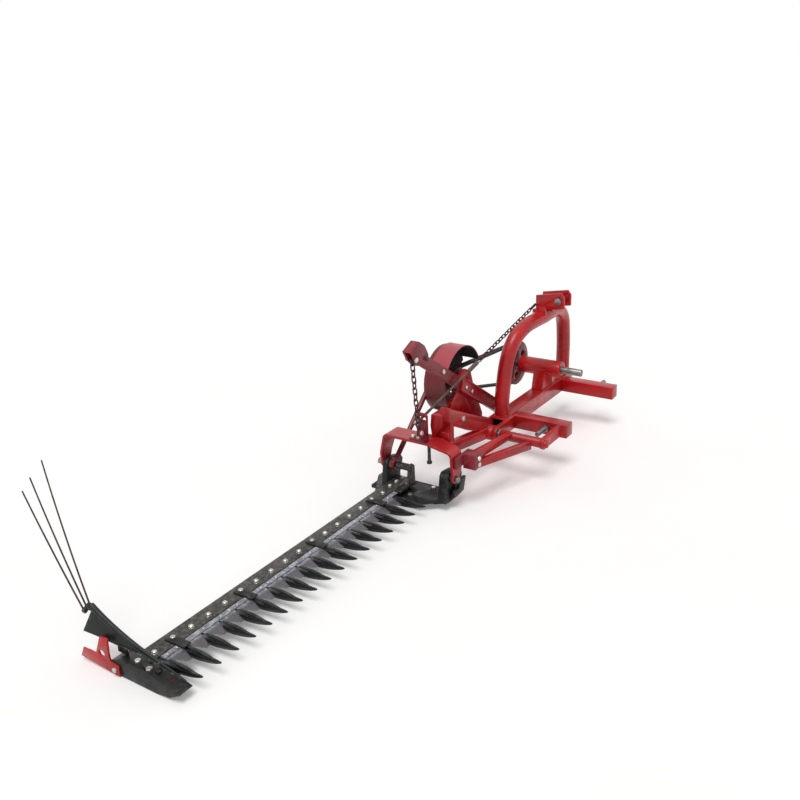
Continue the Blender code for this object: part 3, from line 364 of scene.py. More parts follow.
# Finished pieces
def bevelled(ob, width, segments, clamp):
    """Mesh of an object with its sharp edges broken."""
    mod = ob.modifiers.new("edge", "BEVEL")
    mod.width = width
    mod.segments = segments
    mod.limit_method = "ANGLE"
    mod.angle_limit = SHARP
    mod.use_clamp_overlap = clamp
    graph = bpy.context.evaluated_depsgraph_get()
    bpy.context.view_layer.update()
    mesh = bpy.data.meshes.new_from_object(ob.evaluated_get(graph))
    ob.modifiers.clear()
    return mesh


def piece(name, bm, mat, body, stands_for=(), smooth=35.0, bevel=0.0, segments=2, clamp=False):
    """Finish a mesh as a named piece on a body, in place of the CAD nodes that it stands for."""
    bmesh.ops.recalc_face_normals(bm, faces=bm.faces)
    mesh = bpy.data.meshes.new(name)
    bm.to_mesh(mesh)
    bm.free()
    ob = bpy.data.objects.new(name, mesh)
    scene.collection.objects.link(ob)
    if bevel:
        sharp = mesh
        mesh = bevelled(ob, bevel, segments, clamp)
        ob.data = mesh
        bpy.data.meshes.remove(sharp)
        mesh.name = name
    mesh.polygons.foreach_set("use_smooth", [True] * len(mesh.polygons))
    mesh.set_sharp_from_angle(angle=math.radians(smooth))
    mesh.materials.clear()
    mesh.materials.append(mat)
    if stands_for:
        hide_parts(*stands_for)
    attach(ob, body)


def rounded(node, mat, bevel, segments=2, clamp=False):
    """The CAD node's own shape with its edges broken."""
    bm = bmesh.new()
    bm.from_mesh(frame["nodes"][node].data)
    bmesh.ops.remove_doubles(bm, verts=bm.verts, dist=MERGE)
    bmesh.ops.dissolve_limit(bm, angle_limit=FLAT, verts=bm.verts, edges=bm.edges)
    piece(node + "_finished", bm, mat, BODY_OF[node], (node,), 38.0, bevel, segments, clamp)


# Mesh helpers
def rings_into(bm, rings, closed=False):
    """Skin over a row of rings, with flat ends unless the row closes on itself."""
    rows = [[bm.verts.new(p) for p in ring] for ring in rings]
    count = len(rows)
    for i in range(count if closed else count - 1):
        a, b = rows[i], rows[(i + 1) % count]
        for j in range(len(a)):
            k = (j + 1) % len(a)
            bm.faces.new((a[j], a[k], b[k], b[j]))
    if not closed:
        bm.faces.new(list(reversed(rows[0])))
        bm.faces.new(rows[-1])


def side_frame(d):
    """Two unit vectors square to a direction and to each other."""
    ref = UP if abs(d.z) < 0.9 else FWD
    u = d.cross(ref).normalized()
    return u, u.cross(d).normalized()


def spoke(u, v, t):
    """Unit vector at an angle t from u towards v."""
    return u * math.cos(t) + v * math.sin(t)


def lathe_into(bm, origin, axis, profile, n=24):
    """Solid of revolution from (radius, distance along the axis) pairs; its ends are closed flat."""
    origin, d = Vector(origin), Vector(axis).normalized()
    u, v = side_frame(d)
    rings_into(bm, [[origin + d * h + spoke(u, v, t) * r for t in angles(n)] for r, h in profile])


def prism_into(bm, ring, offset):
    """Outline pushed straight along an offset."""
    rings_into(bm, [ring, [p + offset for p in ring]])


def plate_into(bm, loops, offset):
    """Flat plate: the first loop is its outline and the others are holes."""
    near = [[bm.verts.new(p) for p in loop] for loop in loops]
    far = [[bm.verts.new(p + offset) for p in loop] for loop in loops]
    flat_near, flat_far = sum(near, []), sum(far, [])
    for tri in tessellate_polygon(loops):
        bm.faces.new([flat_near[k] for k in tri])
        bm.faces.new([flat_far[k] for k in reversed(tri)])
    for a, b in zip(near, far):
        for j in range(len(a)):
            k = (j + 1) % len(a)
            bm.faces.new((a[j], a[k], b[k], b[j]))


def sheet_into(bm, rows, thickness):
    """Sheet through rows of points, thickened both ways."""
    many, wide = len(rows), len(rows[0])
    grid = [[None] * wide for _ in rows]
    for i in range(many):
        for j in range(wide):
            a = rows[min(i + 1, many - 1)][j] - rows[max(i - 1, 0)][j]
            b = rows[i][min(j + 1, wide - 1)] - rows[i][max(j - 1, 0)]
            n = a.cross(b)
            half = (n.normalized() if n.length > 1e-12 else OUT) * thickness / 2
            grid[i][j] = (bm.verts.new(rows[i][j] + half), bm.verts.new(rows[i][j] - half))
    for i in range(many - 1):
        for j in range(wide - 1):
            a, b, c, d = grid[i][j], grid[i + 1][j], grid[i + 1][j + 1], grid[i][j + 1]
            bm.faces.new((a[0], b[0], c[0], d[0]))
            bm.faces.new((d[1], c[1], b[1], a[1]))
    rim = [(i, 0) for i in range(many)] + [(many - 1, j) for j in range(1, wide)] \
        + [(i, wide - 1) for i in range(many - 2, -1, -1)] + [(0, j) for j in range(wide - 2, 0, -1)]
    for k, (i, j) in enumerate(rim):
        m, n = rim[(k + 1) % len(rim)]
        bm.faces.new((grid[i][j][0], grid[m][n][0], grid[m][n][1], grid[i][j][1]))


def smooth_path(points, steps):
    """Catmull-Rom curve through the points."""
    pts = [Vector(p) for p in points]
    out = []
    for i in range(len(pts) - 1):
        a, b = pts[i], pts[i + 1]
        m = pts[i - 1] if i else a + (a - b)
        n = pts[i + 2] if i < len(pts) - 2 else b + (b - a)
        for k in range(steps):
            s = k / steps
            out.append(0.5 * (2 * a + (b - m) * s + (2 * m - 5 * a + 4 * b - n) * s * s
                              + (3 * a - m - 3 * b + n) * s ** 3))
    out.append(pts[-1])
    return out


def tube_into(bm, points, radius, n=14, closed=False):
    """Round tube along a path; radius is a number or a function of the share of the way along."""
    count = len(points)
    u = None
    rings = []
    for i, p in enumerate(points):
        if closed:
            d = (points[(i + 1) % count] - points[i - 1]).normalized()
        else:
            d = (points[min(i + 1, count - 1)] - points[max(i - 1, 0)]).normalized()
        u = side_frame(d)[0] if u is None else (u - d * u.dot(d)).normalized()
        v = d.cross(u)
        r = radius(i / (count - 1)) if callable(radius) else radius
        rings.append([p + spoke(u, v, t) * r for t in angles(n)])
    rings_into(bm, rings, closed)


def weld_into(bm, points, r, seed):
    """Bead with the ripples of a hand weld, thin at both ends."""
    path = smooth_path(points, 14)

    def size(s):
        uneven = noise.noise(Vector((s * 40.0, seed, 0.0)))
        ripple = 0.9 + 0.16 * math.sin(s * len(path) * 1.9) + 0.22 * uneven
        return r * ripple * (0.35 + 0.65 * min(1.0, 14 * s, 14 * (1 - s)))

    tube_into(bm, path, size, 8)


def hex_head_into(bm, base, axis, across, height, washer=0.0, turn=0.0, dome=0.0):
    """Bolt head or nut with a chamfered or domed top, and a washer of the given radius under it."""
    base, d = Vector(base), Vector(axis).normalized()
    u, v = side_frame(d)
    if washer:
        lathe_into(bm, base, d, [(washer - 0.0004, 0.0), (washer, 0.0004), (washer, 0.0014),
                                 (washer - 0.0005, 0.0018)], 20)
        base = base + d * 0.0018
    sides = 6
    r = across / 2 / math.cos(math.pi / sides)
    outline = [(0.97, 0.0), (1.0, 0.0006), (1.0, height * 0.74), (0.90, height * 0.94), (0.82, height)]
    if dome:
        outline += [(0.62, height + dome * 0.62), (0.34, height + dome * 0.92), (0.06, height + dome)]
    rings = []
    for scale, h in outline:
        ring = []
        for i in range(sides * 2):
            t = turn + math.pi * i / sides
            corner = r if i % 2 == 0 else across / 2
            reach = min(corner, r * scale) if scale < 1.0 else corner
            ring.append(base + d * h + spoke(u, v, t) * reach)
        rings.append(ring)
    rings_into(bm, rings)


def bolts(name, body, mat, places, **how):
    """Heads or nuts in one piece, from (layout place, axis, size across flats, height)."""
    bm = bmesh.new()
    for i, (p, axis, across, height) in enumerate(places):
        hex_head_into(bm, at(*p), axis, across, height, turn=0.4 * i, **how)
    piece(name, bm, mat, body, smooth=30)


# CAD nodes whose own shape is right: edges broken, better materials
for node in ("cross_beam", "front_arm_right", "front_arm_left", "top_link_bracket", "input_housing",
             "drive_carrier", "cross_tube", "drag_brace", "swing_arm"):
    rounded(node, RED, 0.0016)
rounded("lever_channel", CHANNEL, 0.0016)
for node in ("lift_lever", "chain_anchor", "stay_lug", "front_boss"):
    rounded(node, MAGENTA, 0.0014)
# The flywheel, pulleys and pitman take the darker red: painted shade.
for node in ("flywheel", "driven_pulley", "input_pulley", "pitman"):
    rounded(node, SHADED_RED, 0.0012)
for node in ("swath_post", "chain_sheave"):
    rounded(node, BLACK, 0.0022, 3)
rounded("outer_shoe", SHOE, 0.0022, 3)
rounded("inner_shoe", BLACK, 0.0016, clamp=True)
for node in ("lower_hitch_pin_right", "lower_hitch_pin_left", "top_link_pin", "arm_hinge_pin", "lever_pin",
             "hinge_pin_rear", "hinge_pin_front", "input_shaft"):
    rounded(node, STEEL, 0.0008)
rounded("stop_bolt", DULL, 0.0008)
for node in ("v_belt_1", "v_belt_2"):
    rounded(node, RUBBER, 0.0008)
rounded("knife_head", OILY, 0.0010)
for i in range(len(CLIPS)):
    rounded("hold_down_clip_%d" % i, BLACK, 0.0030, 3)


# Guards: fingers with a keel, a lip and a web to the next. Rows are (y, half width, bottom, top).
FINGER = ((0.0120, 0.0130, 0.0340, 0.0488), (0.0228, 0.0130, 0.0300, 0.0492),
          (0.0232, 0.0130, 0.0300, 0.0555), (0.0450, 0.0122, 0.0290, 0.0556),
          (0.0750, 0.0104, 0.0288, 0.0556), (0.1120, 0.0090, 0.0304, 0.0556),
          (0.1300, 0.0083, 0.0328, 0.0574), (0.1500, 0.0072, 0.0364, 0.0588),
          (0.1680, 0.0059, 0.0408, 0.0596), (0.1810, 0.0048, 0.0446, 0.0600),
          (0.1930, 0.0035, 0.0490, 0.0602), (0.2010, 0.0024, 0.0526, 0.0602),
          (0.2055, 0.0014, 0.0556, 0.0598), (0.2070, 0.0005, 0.0574, 0.0586))
LIP = ((0.0628, 0.0014, 0.0632, 0.0642), (0.0650, 0.0038, 0.0618, 0.0652), (0.0750, 0.0050, 0.0613, 0.0660),
       (0.0950, 0.0060, 0.0606, 0.0670), (0.1140, 0.0066, 0.0600, 0.0676), (0.1152, 0.0068, 0.0520, 0.0676),
       (0.1300, 0.0068, 0.0500, 0.0666), (0.1480, 0.0062, 0.0490, 0.0646), (0.1620, 0.0052, 0.0480, 0.0624),
       (0.1740, 0.0038, 0.0480, 0.0606))
WEB_BACK, WEB_TOP, WEB_GAP = -0.034, 0.0494, 0.0009
WEB_OUTER_END = 0.0210                    # x where the outermost guard's web ends


def soft_box(x, y, half, z0, z1, keel, corner):
    """Cross-section of a forging at y: flat-topped with soft corners, narrowed to a keel below."""
    out = []
    for t in angles(20, 0.5):
        c, n = math.cos(t), math.sin(t)
        u = math.copysign(abs(c) ** corner, c)
        v = math.copysign(abs(n) ** corner, n)
        width = half * (1.0 - (1.0 - keel) * max(0.0, -v))
        out.append(at(x + u * width, y, (z0 + z1) / 2 + v * (z1 - z0) / 2))
    return out


def finger_into(bm, x):
    """Finger and the lip on it, apart where the knife runs between them."""
    rings_into(bm, [soft_box(x, y, half, z0, z1, 0.46, 0.38) for y, half, z0, z1 in FINGER])
    rings_into(bm, [soft_box(x, y, half, z0, z1, 0.90, 0.45) for y, half, z0, z1 in LIP])


def web_into(bm, x0, x1):
    """Foot under the bar with a hollow between the fingers."""
    rings = []
    steps = 16
    for k in range(steps + 1):
        x = x0 + (x1 - x0) * k / steps
        near = abs(math.cos(math.pi * (x + PITCH / 2) / PITCH))
        front = 0.0195 + 0.0035 * (1.0 - near) ** 2
        low = 0.0335 + 0.006 * near
        rings.append(ring_at_x(x, ((WEB_BACK, low + 0.004), (-0.030, low), (0.012, low - 0.003),
                                   (front, 0.0335), (front, WEB_TOP), (WEB_BACK, WEB_TOP))))
    rings_into(bm, rings)


def guard(node, fingers, outer_end):
    """Guard that carries the fingers with the given numbers, from the outer one inwards."""
    bm = bmesh.new()
    for f in fingers:
        finger_into(bm, finger_x(f))
    web_into(bm, finger_x(fingers[-1]) - PITCH / 2 + WEB_GAP, outer_end)
    piece(node + "_forging", bm, GUARD, "bar", (node,), 42)


guard("guard_outer", (0,), WEB_OUTER_END)
for g in range(FINGERS // 2):
    first = 1 + 2 * g
    guard("guard_double_%d" % (g + 1), (first, first + 1), finger_x(first) + PITCH / 2 - WEB_GAP)

# Ledger plates: thin bright edges of steel let into each finger under the knife
bm = bmesh.new()
for i in range(FINGERS):
    x = finger_x(i)
    outline = ((x - 0.0126, 0.040), (x + 0.0126, 0.040), (x + 0.0098, 0.108), (x - 0.0098, 0.108))
    rings_into(bm, [ring_at_z(z, outline) for z in (0.0550, 0.0560)])
piece("ledger_plates", bm, BLADE, "bar", smooth=30)

# Cutter bar: the plate and the row of guard bolts
bm = bmesh.new()
section = ((BAR_Y0, BAR_LOW), (BAR_Y1, BAR_LOW), (BAR_Y1, BAR_TOP), (BAR_Y0, BAR_TOP))
rings_into(bm, [ring_at_x(x, section) for x in (BAR_X0, BAR_X1)])
piece("bar_plate", bm, BAR, "bar", ("cutter_bar",), 35, 0.0012)
GUARD_BOLT = {"across": 0.0168, "height": 0.0066, "washer": 0.0098, "dome": 0.0034}
CLIP_BOLT = {"across": 0.0170, "height": 0.0062, "dome": 0.0024}
SHOE_END_BOLTS = (-1.29, -1.335, -1.38)   # x of the three that hold the bar to the inner shoe
bm = bmesh.new()
for i in range(FINGERS):
    if i not in CLIPS:
        hex_head_into(bm, at(finger_x(i), 0.0, BAR_TOP), UP, turn=0.7 * i, **GUARD_BOLT)
for k, x in enumerate(SHOE_END_BOLTS):
    hex_head_into(bm, at(x, -0.012, BAR_TOP), UP, turn=0.5 * k, **GUARD_BOLT)
for i in CLIPS:
    hex_head_into(bm, at(finger_x(i), 0.0, CLIP_TOP), UP, turn=0.3 * i, **CLIP_BOLT)
piece("guard_bolts", bm, ZINC, "bar", smooth=30)

# Knife: bevelled sections, the mottled back and its rivets
HALF_SECTION = PITCH / 2 - 0.0006
SECTION_BACK, BEVEL_Z = 0.0265, 0.05665
bm = bmesh.new()
for i in range(FINGERS - 1):
    x = finger_x(i + 0.5)
    left, right = x - HALF_SECTION, x + HALF_SECTION
    low = ((left, SECTION_BACK), (right, SECTION_BACK), (right, 0.0400), (x + 0.0085, 0.1115),
           (x - 0.0085, 0.1115), (left, 0.0400))
    high = ((left, SECTION_BACK), (right, SECTION_BACK), (right - 0.0006, 0.0395), (x + 0.0036, 0.1085),
            (x - 0.0036, 0.1085), (left + 0.0006, 0.0395))
    rings_into(bm, [ring_at_z(KNIFE_LOW, low), ring_at_z(BEVEL_Z, low), ring_at_z(KNIFE_TOP, high)])
piece("knife_blades", bm, SECTION, "knife", ("knife_sections",), 18)
bm = bmesh.new()
section = ((0.0270, 0.0590), (0.0470, 0.0590), (0.0470, 0.0622), (0.0462, 0.0630), (0.0278, 0.0630),
           (0.0270, 0.0622))
rings_into(bm, [ring_at_x(x, section) for x in (finger_x(FINGERS - 0.5), 0.0)])
piece("knife_back_bar", bm, KNIFE_BACK, "knife", ("knife_back",), 30)
bm = bmesh.new()
rivet = [(0.0046, 0.0), (0.0045, 0.0006), (0.0037, 0.0013), (0.0022, 0.0018), (0.0001, 0.0020)]
for i in range(FINGERS - 1):
    for side in (-0.020, 0.020):
        lathe_into(bm, at(finger_x(i + 0.5) + side, 0.0370, 0.0629), UP, rivet, 12)
piece("section_rivets", bm, ZINC, "knife", smooth=60)

# Headstock tube, from the right foot to the top and back down. Points are (x from the middle, y, z).
FOOT_X, FOOT_Y = 0.326, 0.200
half_path = [(FOOT_X, FOOT_Y, BEAM_TOP + 0.0003), (0.324, 0.201, 0.290), (0.316, 0.205, 0.370),
             (0.302, 0.209, 0.445), (0.277, 0.215, 0.510), (0.232, 0.221, 0.556), (0.160, 0.230, 0.586),
             (0.080, 0.238, 0.594), (0.0, 0.243, 0.595)]
route = [at(HITCH_X + x, y, z) for x, y, z in half_path]
route += [at(HITCH_X - x, y, z) for x, y, z in reversed(half_path[:-1])]
bm = bmesh.new()
tube_into(bm, smooth_path(route, 8), TUBE_R, 36)
piece("headstock_bend", bm, RED, "frame", ("headstock_tube",), 50)
for side, x in (("right", FOOT_X), ("left", -FOOT_X)):
    bm = bmesh.new()
    ring = [at(HITCH_X + x + 0.0345 * math.cos(t), FOOT_Y + 0.0330 * math.sin(t), BEAM_TOP + 0.0025)
            for t in angles(24) + [2 * math.pi]]
    weld_into(bm, ring, 0.0036, x)
    piece("headstock_weld_" + side, bm, RED, "frame", smooth=60)

# Saddle plates that carry the top link bracket on the bend, and the bolt of the right one
bm = bmesh.new()
saddle = ((0.206, 0.588), (0.206, 0.632), (0.2225, 0.6390), (0.2225, 0.6480), (0.270, 0.6480),
          (0.274, 0.588))
for x in (HITCH_X + 0.0295, HITCH_X - 0.0405):
    prism_into(bm, ring_at_x(x, saddle), OUT * 0.0110)
piece("bracket_saddle", bm, RED, "frame", (), 35, 0.0012)
bolts("saddle_bolt", "frame", ZINC, [((-2.1595, 0.2165, 0.6130), OUT, 0.0165, 0.0070)], dome=0.002)

# Belt guard: a thin rolled band with turned edges, lighter on its upper stretch (painted sky sheen) and
# darker on its lower one (painted shade), black inside and behind the belts (painted shade), and its foot.
# Sections are (radius, y).
BAND = ((0.1512, 0.0097), (0.1545, 0.0097), (0.1549, 0.0106), (0.1545, 0.0120), (0.1542, 0.0140),
        (0.1542, 0.0905), (0.1545, 0.0925), (0.1549, 0.0936), (0.1545, 0.0945), (0.1512, 0.0945),
        (0.1510, 0.0500))
SHADE_LINING = ((0.1503, 0.0100), (0.1511, 0.0100), (0.1511, 0.0942), (0.1503, 0.0942))


def round_shaft(r, y, degrees):
    """Point at a radius and an angle round the flywheel shaft."""
    t = math.radians(degrees)
    return at(SHAFT_X + r * math.cos(t), y, SHAFT_Z + r * math.sin(t))


def band(name, mat, section, start, sweep, stands_for=()):
    """Section swept round the flywheel shaft, in steps of about 2.4 degrees."""
    steps = round(sweep / 2.4)
    turns = [start + sweep * k / steps for k in range(steps + 1)]
    bm = bmesh.new()
    rings_into(bm, [[round_shaft(r, y, turn) for r, y in section] for turn in turns])
    piece(name, bm, mat, "frame", stands_for, 40)


# Upper band in the lighter red (painted sky sheen), its lower stretch in the darker red (painted shade),
# black inside it (painted shade).
band("belt_guard_band", SHEEN_RED, BAND, 32, 126, ("belt_guard",))
band("belt_guard_band_painted_shade", SHADED_RED, BAND, -30, 62.2)
band("belt_guard_painted_shade_lining", SHADE_BLACK, SHADE_LINING, -29.6, 187)
# Black sheet behind the belts, inside the guard: painted shade.
bm = bmesh.new()
sector = [round_shaft(0.1504, 0.0098, 20.0 + turn) for turn in range(0, 147, 2)]
sector += [round_shaft(0.0480, 0.0098, 20.0 + turn) for turn in range(146, -1, -2)]
prism_into(bm, sector, FWD * 0.0010)
piece("belt_guard_painted_shade_sheet", bm, SHADE_BLACK, "frame", smooth=40)
bm = bmesh.new()
foot = ((0.0752, 0.3185), (0.0950, 0.3185), (0.0950, 0.3465), (0.0752, 0.3465))
rings_into(bm, [ring_at_x(x, foot) for x in (-1.654, -1.5880)])
piece("belt_guard_foot", bm, RED, "frame", (), 35, 0.0014)

# Yoke: one bent strap, its legs tapered to round feet. Rows are (z, inboard x, outboard x) of its edges.
YOKE_Y0, YOKE_Y1, YOKE_TOP, YOKE_FALL, YOKE_T = -0.083, 0.272, 0.281, 0.022, 0.012
YOKE_X0, YOKE_X1, YOKE_FOOT = -1.4117, -1.3203, 0.120
STRAP_EDGES = ((YOKE_FOOT, -1.3590, -1.3410), (0.1235, -1.3650, -1.3350), (0.128, -1.3680, -1.3320),
               (0.137, -1.3700, -1.3310), (0.159, -1.3940, -1.3285), (0.215, YOKE_X0, YOKE_X1),
               (0.300, YOKE_X0, YOKE_X1))
NARROW_Y, NARROW_SLOPE = 0.120, 0.129     # from this y the strap narrows towards its front leg
FRONT_LEG_X0 = -1.395
LEG_HEIGHTS = (0.1235, 0.128, 0.137, 0.148, 0.159)


def filleted(corners):
    """Path through (y, z, radius) corners with each corner rounded."""
    pts = [Vector((y, z)) for y, z, _ in corners]
    out = [pts[0]]
    for i in range(1, len(pts) - 1):
        a, b = (pts[i - 1] - pts[i]).normalized(), (pts[i + 1] - pts[i]).normalized()
        angle = a.angle(b)
        cut = corners[i][2] / math.tan(angle / 2)
        middle = pts[i] + (a + b).normalized() * (corners[i][2] / math.sin(angle / 2))
        start, end = pts[i] + a * cut - middle, pts[i] + b * cut - middle
        turn = start.angle_signed(end)
        for k in range(9):
            c, n = math.cos(-turn * k / 8), math.sin(-turn * k / 8)
            out.append(middle + Vector((start.x * c - start.y * n, start.x * n + start.y * c)))
    out.append(pts[-1])
    return out


def between_rows(rows, z):
    """Values of a table whose first column is z, read between its rows."""
    for a, b in zip(rows, rows[1:]):
        if z <= b[0] or b is rows[-1]:
            s = min(1.0, max(0.0, (z - a[0]) / (b[0] - a[0])))
            return [u + (v - u) * s for u, v in zip(a[1:], b[1:])]


def strap_path():
    """Middle line of the strap as (y, z) points, from the rear foot over the top to the front foot."""
    bend = filleted([(YOKE_Y0 + 0.006, YOKE_FOOT, 0), (YOKE_Y0 + 0.006, 0.185, 0.060),
                     (YOKE_Y0 + 0.030, YOKE_TOP - 0.0065, 0.018), (0.150, YOKE_TOP - 0.0062, 0.080),
                     (YOKE_Y1 - 0.0065, YOKE_TOP - YOKE_FALL - 0.0055, 0.024),
                     (YOKE_Y1 - 0.0062, YOKE_FOOT, 0)])
    rear_leg = [Vector((bend[0].x, z)) for z in LEG_HEIGHTS]
    front_leg = [Vector((bend[-1].x, z)) for z in (0.215, 0.185) + LEG_HEIGHTS[::-1]]
    return [bend[0]] + rear_leg + bend[1:-1] + front_leg + [bend[-1]]


strap = strap_path()
chamfer = 0.0015
rings = []
for i, p in enumerate(strap):
    along = (strap[min(i + 1, len(strap) - 1)] - strap[max(i - 1, 0)]).normalized()
    side = Vector((-along.y, along.x))
    x0, x1 = between_rows(STRAP_EDGES, p.y)
    if p.x > NARROW_Y:
        x0 = max(x0, min(FRONT_LEG_X0, YOKE_X0 + (p.x - NARROW_Y) * NARROW_SLOPE))
    face, edge = side * (YOKE_T / 2 - 0.0001), side * (YOKE_T / 2 - 0.0016)
    rings.append([at(x, q.x, q.y) for x, q in (
        (x0 + chamfer, p + face), (x1 - chamfer, p + face), (x1, p + edge), (x1, p - edge),
        (x1 - chamfer, p - face), (x0 + chamfer, p - face), (x0, p - edge), (x0, p + edge))])
bm = bmesh.new()
rings_into(bm, rings)
piece("yoke_strap", bm, RED, "arm", ("yoke",), 34)

# Chains of round wire
LINK_SPACING, WIRE_R, LINK_HALF, LINK_STRAIGHT = 0.0226, 0.0026, 0.0076, 0.0064


def link_into(bm, centre, d, turn, size):
    """Oval link along the direction d, lying in the plane of d and turn."""
    e = (turn - d * turn.dot(d)).normalized()
    pts = []
    for t in angles(20, 0.5):
        reach = math.copysign(LINK_STRAIGHT, math.cos(t)) + LINK_HALF * math.cos(t)
        pts.append(centre + d * reach * size + e * LINK_HALF * math.sin(t) * size)
    tube_into(bm, pts, WIRE_R * size, 10, closed=True)


def chain_into(bm, start, end, count, turn):
    """Links from start to end, each turned a quarter from the last and leaning a little."""
    step = (end - start) / (count - 1)
    d = step.normalized()
    other = d.cross(turn)
    for i in range(count):
        lean = noise.noise(Vector((i * 1.7, count, 0.0))) * 0.10
        side = turn + other * lean if i % 2 == 0 else other + turn * lean
        link_into(bm, start + step * i, d, side, step.length / LINK_SPACING)


lever_dir = (LEVER_TIP - LEVER_HINGE).normalized()
lever_side = Vector((-lever_dir.y, lever_dir.x))


def on_lever(s, h, y):
    """Layout point at a distance s from the lever's tip towards its hinge, h above its middle line."""
    q = LEVER_TIP - lever_dir * s + lever_side * h
    return Vector((q.x, y, q.y))


hook = on_lever(-0.030, -0.024, CHAIN_Y)
bm = bmesh.new()
chain_into(bm, at(hook.x, CHAIN_Y, hook.z - 0.011), at(ANCHOR_X, CHAIN_Y, ANCHOR_Z + 0.0068), 13, OUT)
lathe_into(bm, at(hook.x, 0.1100, hook.z), FWD, [(0.0050, 0.0), (0.0050, 0.0412)], 16)
piece("lift_chain_links", bm, CHAIN, "lift_chain", ("lift_chain",), 60)
bm = bmesh.new()
hex_head_into(bm, at(hook.x, 0.1157, hook.z), BACK, 0.0160, 0.0056)
piece("lift_chain_bolt", bm, ZINC, "lift_chain", smooth=30)

# Front cheek of the lever's end, over the sheave and the chain's top link. Outlines are (s, h) pairs.
CHEEK_Y, CHEEK_T, WEB_Y, WEB_WIDTH = 0.1514, 0.0036, 0.1262, 0.0253
cheek = ((-0.080, -0.012), (-0.035, -0.032), (0.018, -0.036), (0.046, -0.028), (0.053, -0.010),
         (0.050, 0.014), (0.034, 0.031), (0.003, 0.045), (-0.043, 0.046))
end_web = ((-0.080, -0.012), (-0.043, 0.046), (-0.0385, 0.0450), (-0.0752, -0.0125))
bm = bmesh.new()
prism_into(bm, [at(*on_lever(s, h, CHEEK_Y)) for s, h in cheek], FWD * CHEEK_T)
prism_into(bm, [at(*on_lever(s, h, WEB_Y)) for s, h in end_web], FWD * WEB_WIDTH)
piece("lever_end_cheek", bm, MAGENTA, "lever", (), 35, 0.0010)
bolts("cheek_bolt", "lever", ZINC, [((hook.x, CHEEK_Y + CHEEK_T, hook.z), FWD, 0.0200, 0.0062)], dome=0.002)
bolts("sheave_nut", "lever", DULL, [((SHEAVE_X, CHEEK_Y + CHEEK_T, SHEAVE_Z), FWD, 0.0170, 0.0060)])

# Stay: chain, then a rod with a thicker barrel, and its nut. Distances run down it from its upper end.
CHAIN_FROM, CHAIN_TO, BARREL_FROM, BARREL_TO = 0.055, 0.452, 0.4690, 0.5390
ROD_R, BARREL_R, THREAD_STEP, THREAD_TURNS = 0.0056, 0.0092, 0.0012, 89
stay_run = STAY_EYE - STAY_TOP
stay_dir, stay_length = stay_run.normalized(), stay_run.length


def on_stay(s):
    """Point at a distance s along the stay from its upper end."""
    return at(*(STAY_TOP + stay_dir * s))


bm = bmesh.new()
chain_into(bm, on_stay(CHAIN_FROM), on_stay(CHAIN_TO), 18, stay_dir.cross(FWD).normalized())
lathe_into(bm, on_stay(0), stay_dir, [(0.0058, 0.0003), (0.0058, 0.0430)], 16)
piece("stay_chain_links", bm, CHAIN, "stay", ("stay_chain",), 60)
thread_start = stay_length - 0.06
rod = [(0.0070, BARREL_FROM), (BARREL_R, BARREL_FROM + 0.002), (BARREL_R, BARREL_TO - 0.003),
       (0.0078, BARREL_TO - 0.001), (ROD_R, BARREL_TO), (ROD_R, thread_start)]
rod += [(ROD_R + (0.0004 if k % 2 else -0.0003), thread_start + THREAD_STEP * k)
        for k in range(THREAD_TURNS)]
bm = bmesh.new()
lathe_into(bm, on_stay(0), stay_dir, rod, 20)
piece("stay_rod_turned", bm, DARK_ROD, "stay", ("stay_rod",), 40)
bm = bmesh.new()
hex_head_into(bm, on_stay(stay_length + 0.030), stay_dir, 0.0195, 0.0110, washer=0.0120)
piece("stay_nut", bm, ZINC, "stay", smooth=30)

# Swath board: bent sheet from the shoe's nose to the rear, with a rolled top edge and its pivot
NOSE, CREST = Vector((0.036, 0.186, 0.050)), Vector((0.055, -0.187, 0.195))
TAIL, BELLY = Vector((0.078, -0.222, 0.112)), Vector((0.062, 0.020, 0.103))
BELLY_SHARE = (NOSE.y - BELLY.y) / (NOSE.y - TAIL.y)
DIP = 0.017                               # how far the top edge hangs below the line from nose to crest
PIVOT_Y, PIVOT_Z = 0.078, 0.0628


def top_edge(s):
    """Point of the board's top edge, at a share s of the way from the nose to the crest."""
    return NOSE.lerp(CREST, s) - UP * (DIP * 4 * s ** 1.5 * (1 - s ** 1.5))


def board_row(s):
    """Points down the sheet at a share s of its length, over a soft crease between its two edges."""
    upper = top_edge(s)
    if s < BELLY_SHARE:
        lower = NOSE.lerp(BELLY, s / BELLY_SHARE)
    else:
        lower = BELLY.lerp(TAIL, (s - BELLY_SHARE) / (1 - BELLY_SHARE))
    crease = NOSE.lerp(TAIL, s) + UP * (0.010 * 4 * s * (1 - s))
    crease = crease.lerp((upper + lower) / 2, 0.75 * (1 - s))
    row = []
    for j in range(9):
        t = j / 8
        if s < 0.98:
            curved = upper * (1 - t) ** 2 + crease * 2 * t * (1 - t) + lower * t * t
        else:
            curved = upper.lerp(crease, t)
        creased = upper.lerp(crease, 2 * t) if t <= 0.5 else crease.lerp(lower, 2 * t - 1)
        row.append(at(*creased.lerp(curved, 0.45)))
    return row


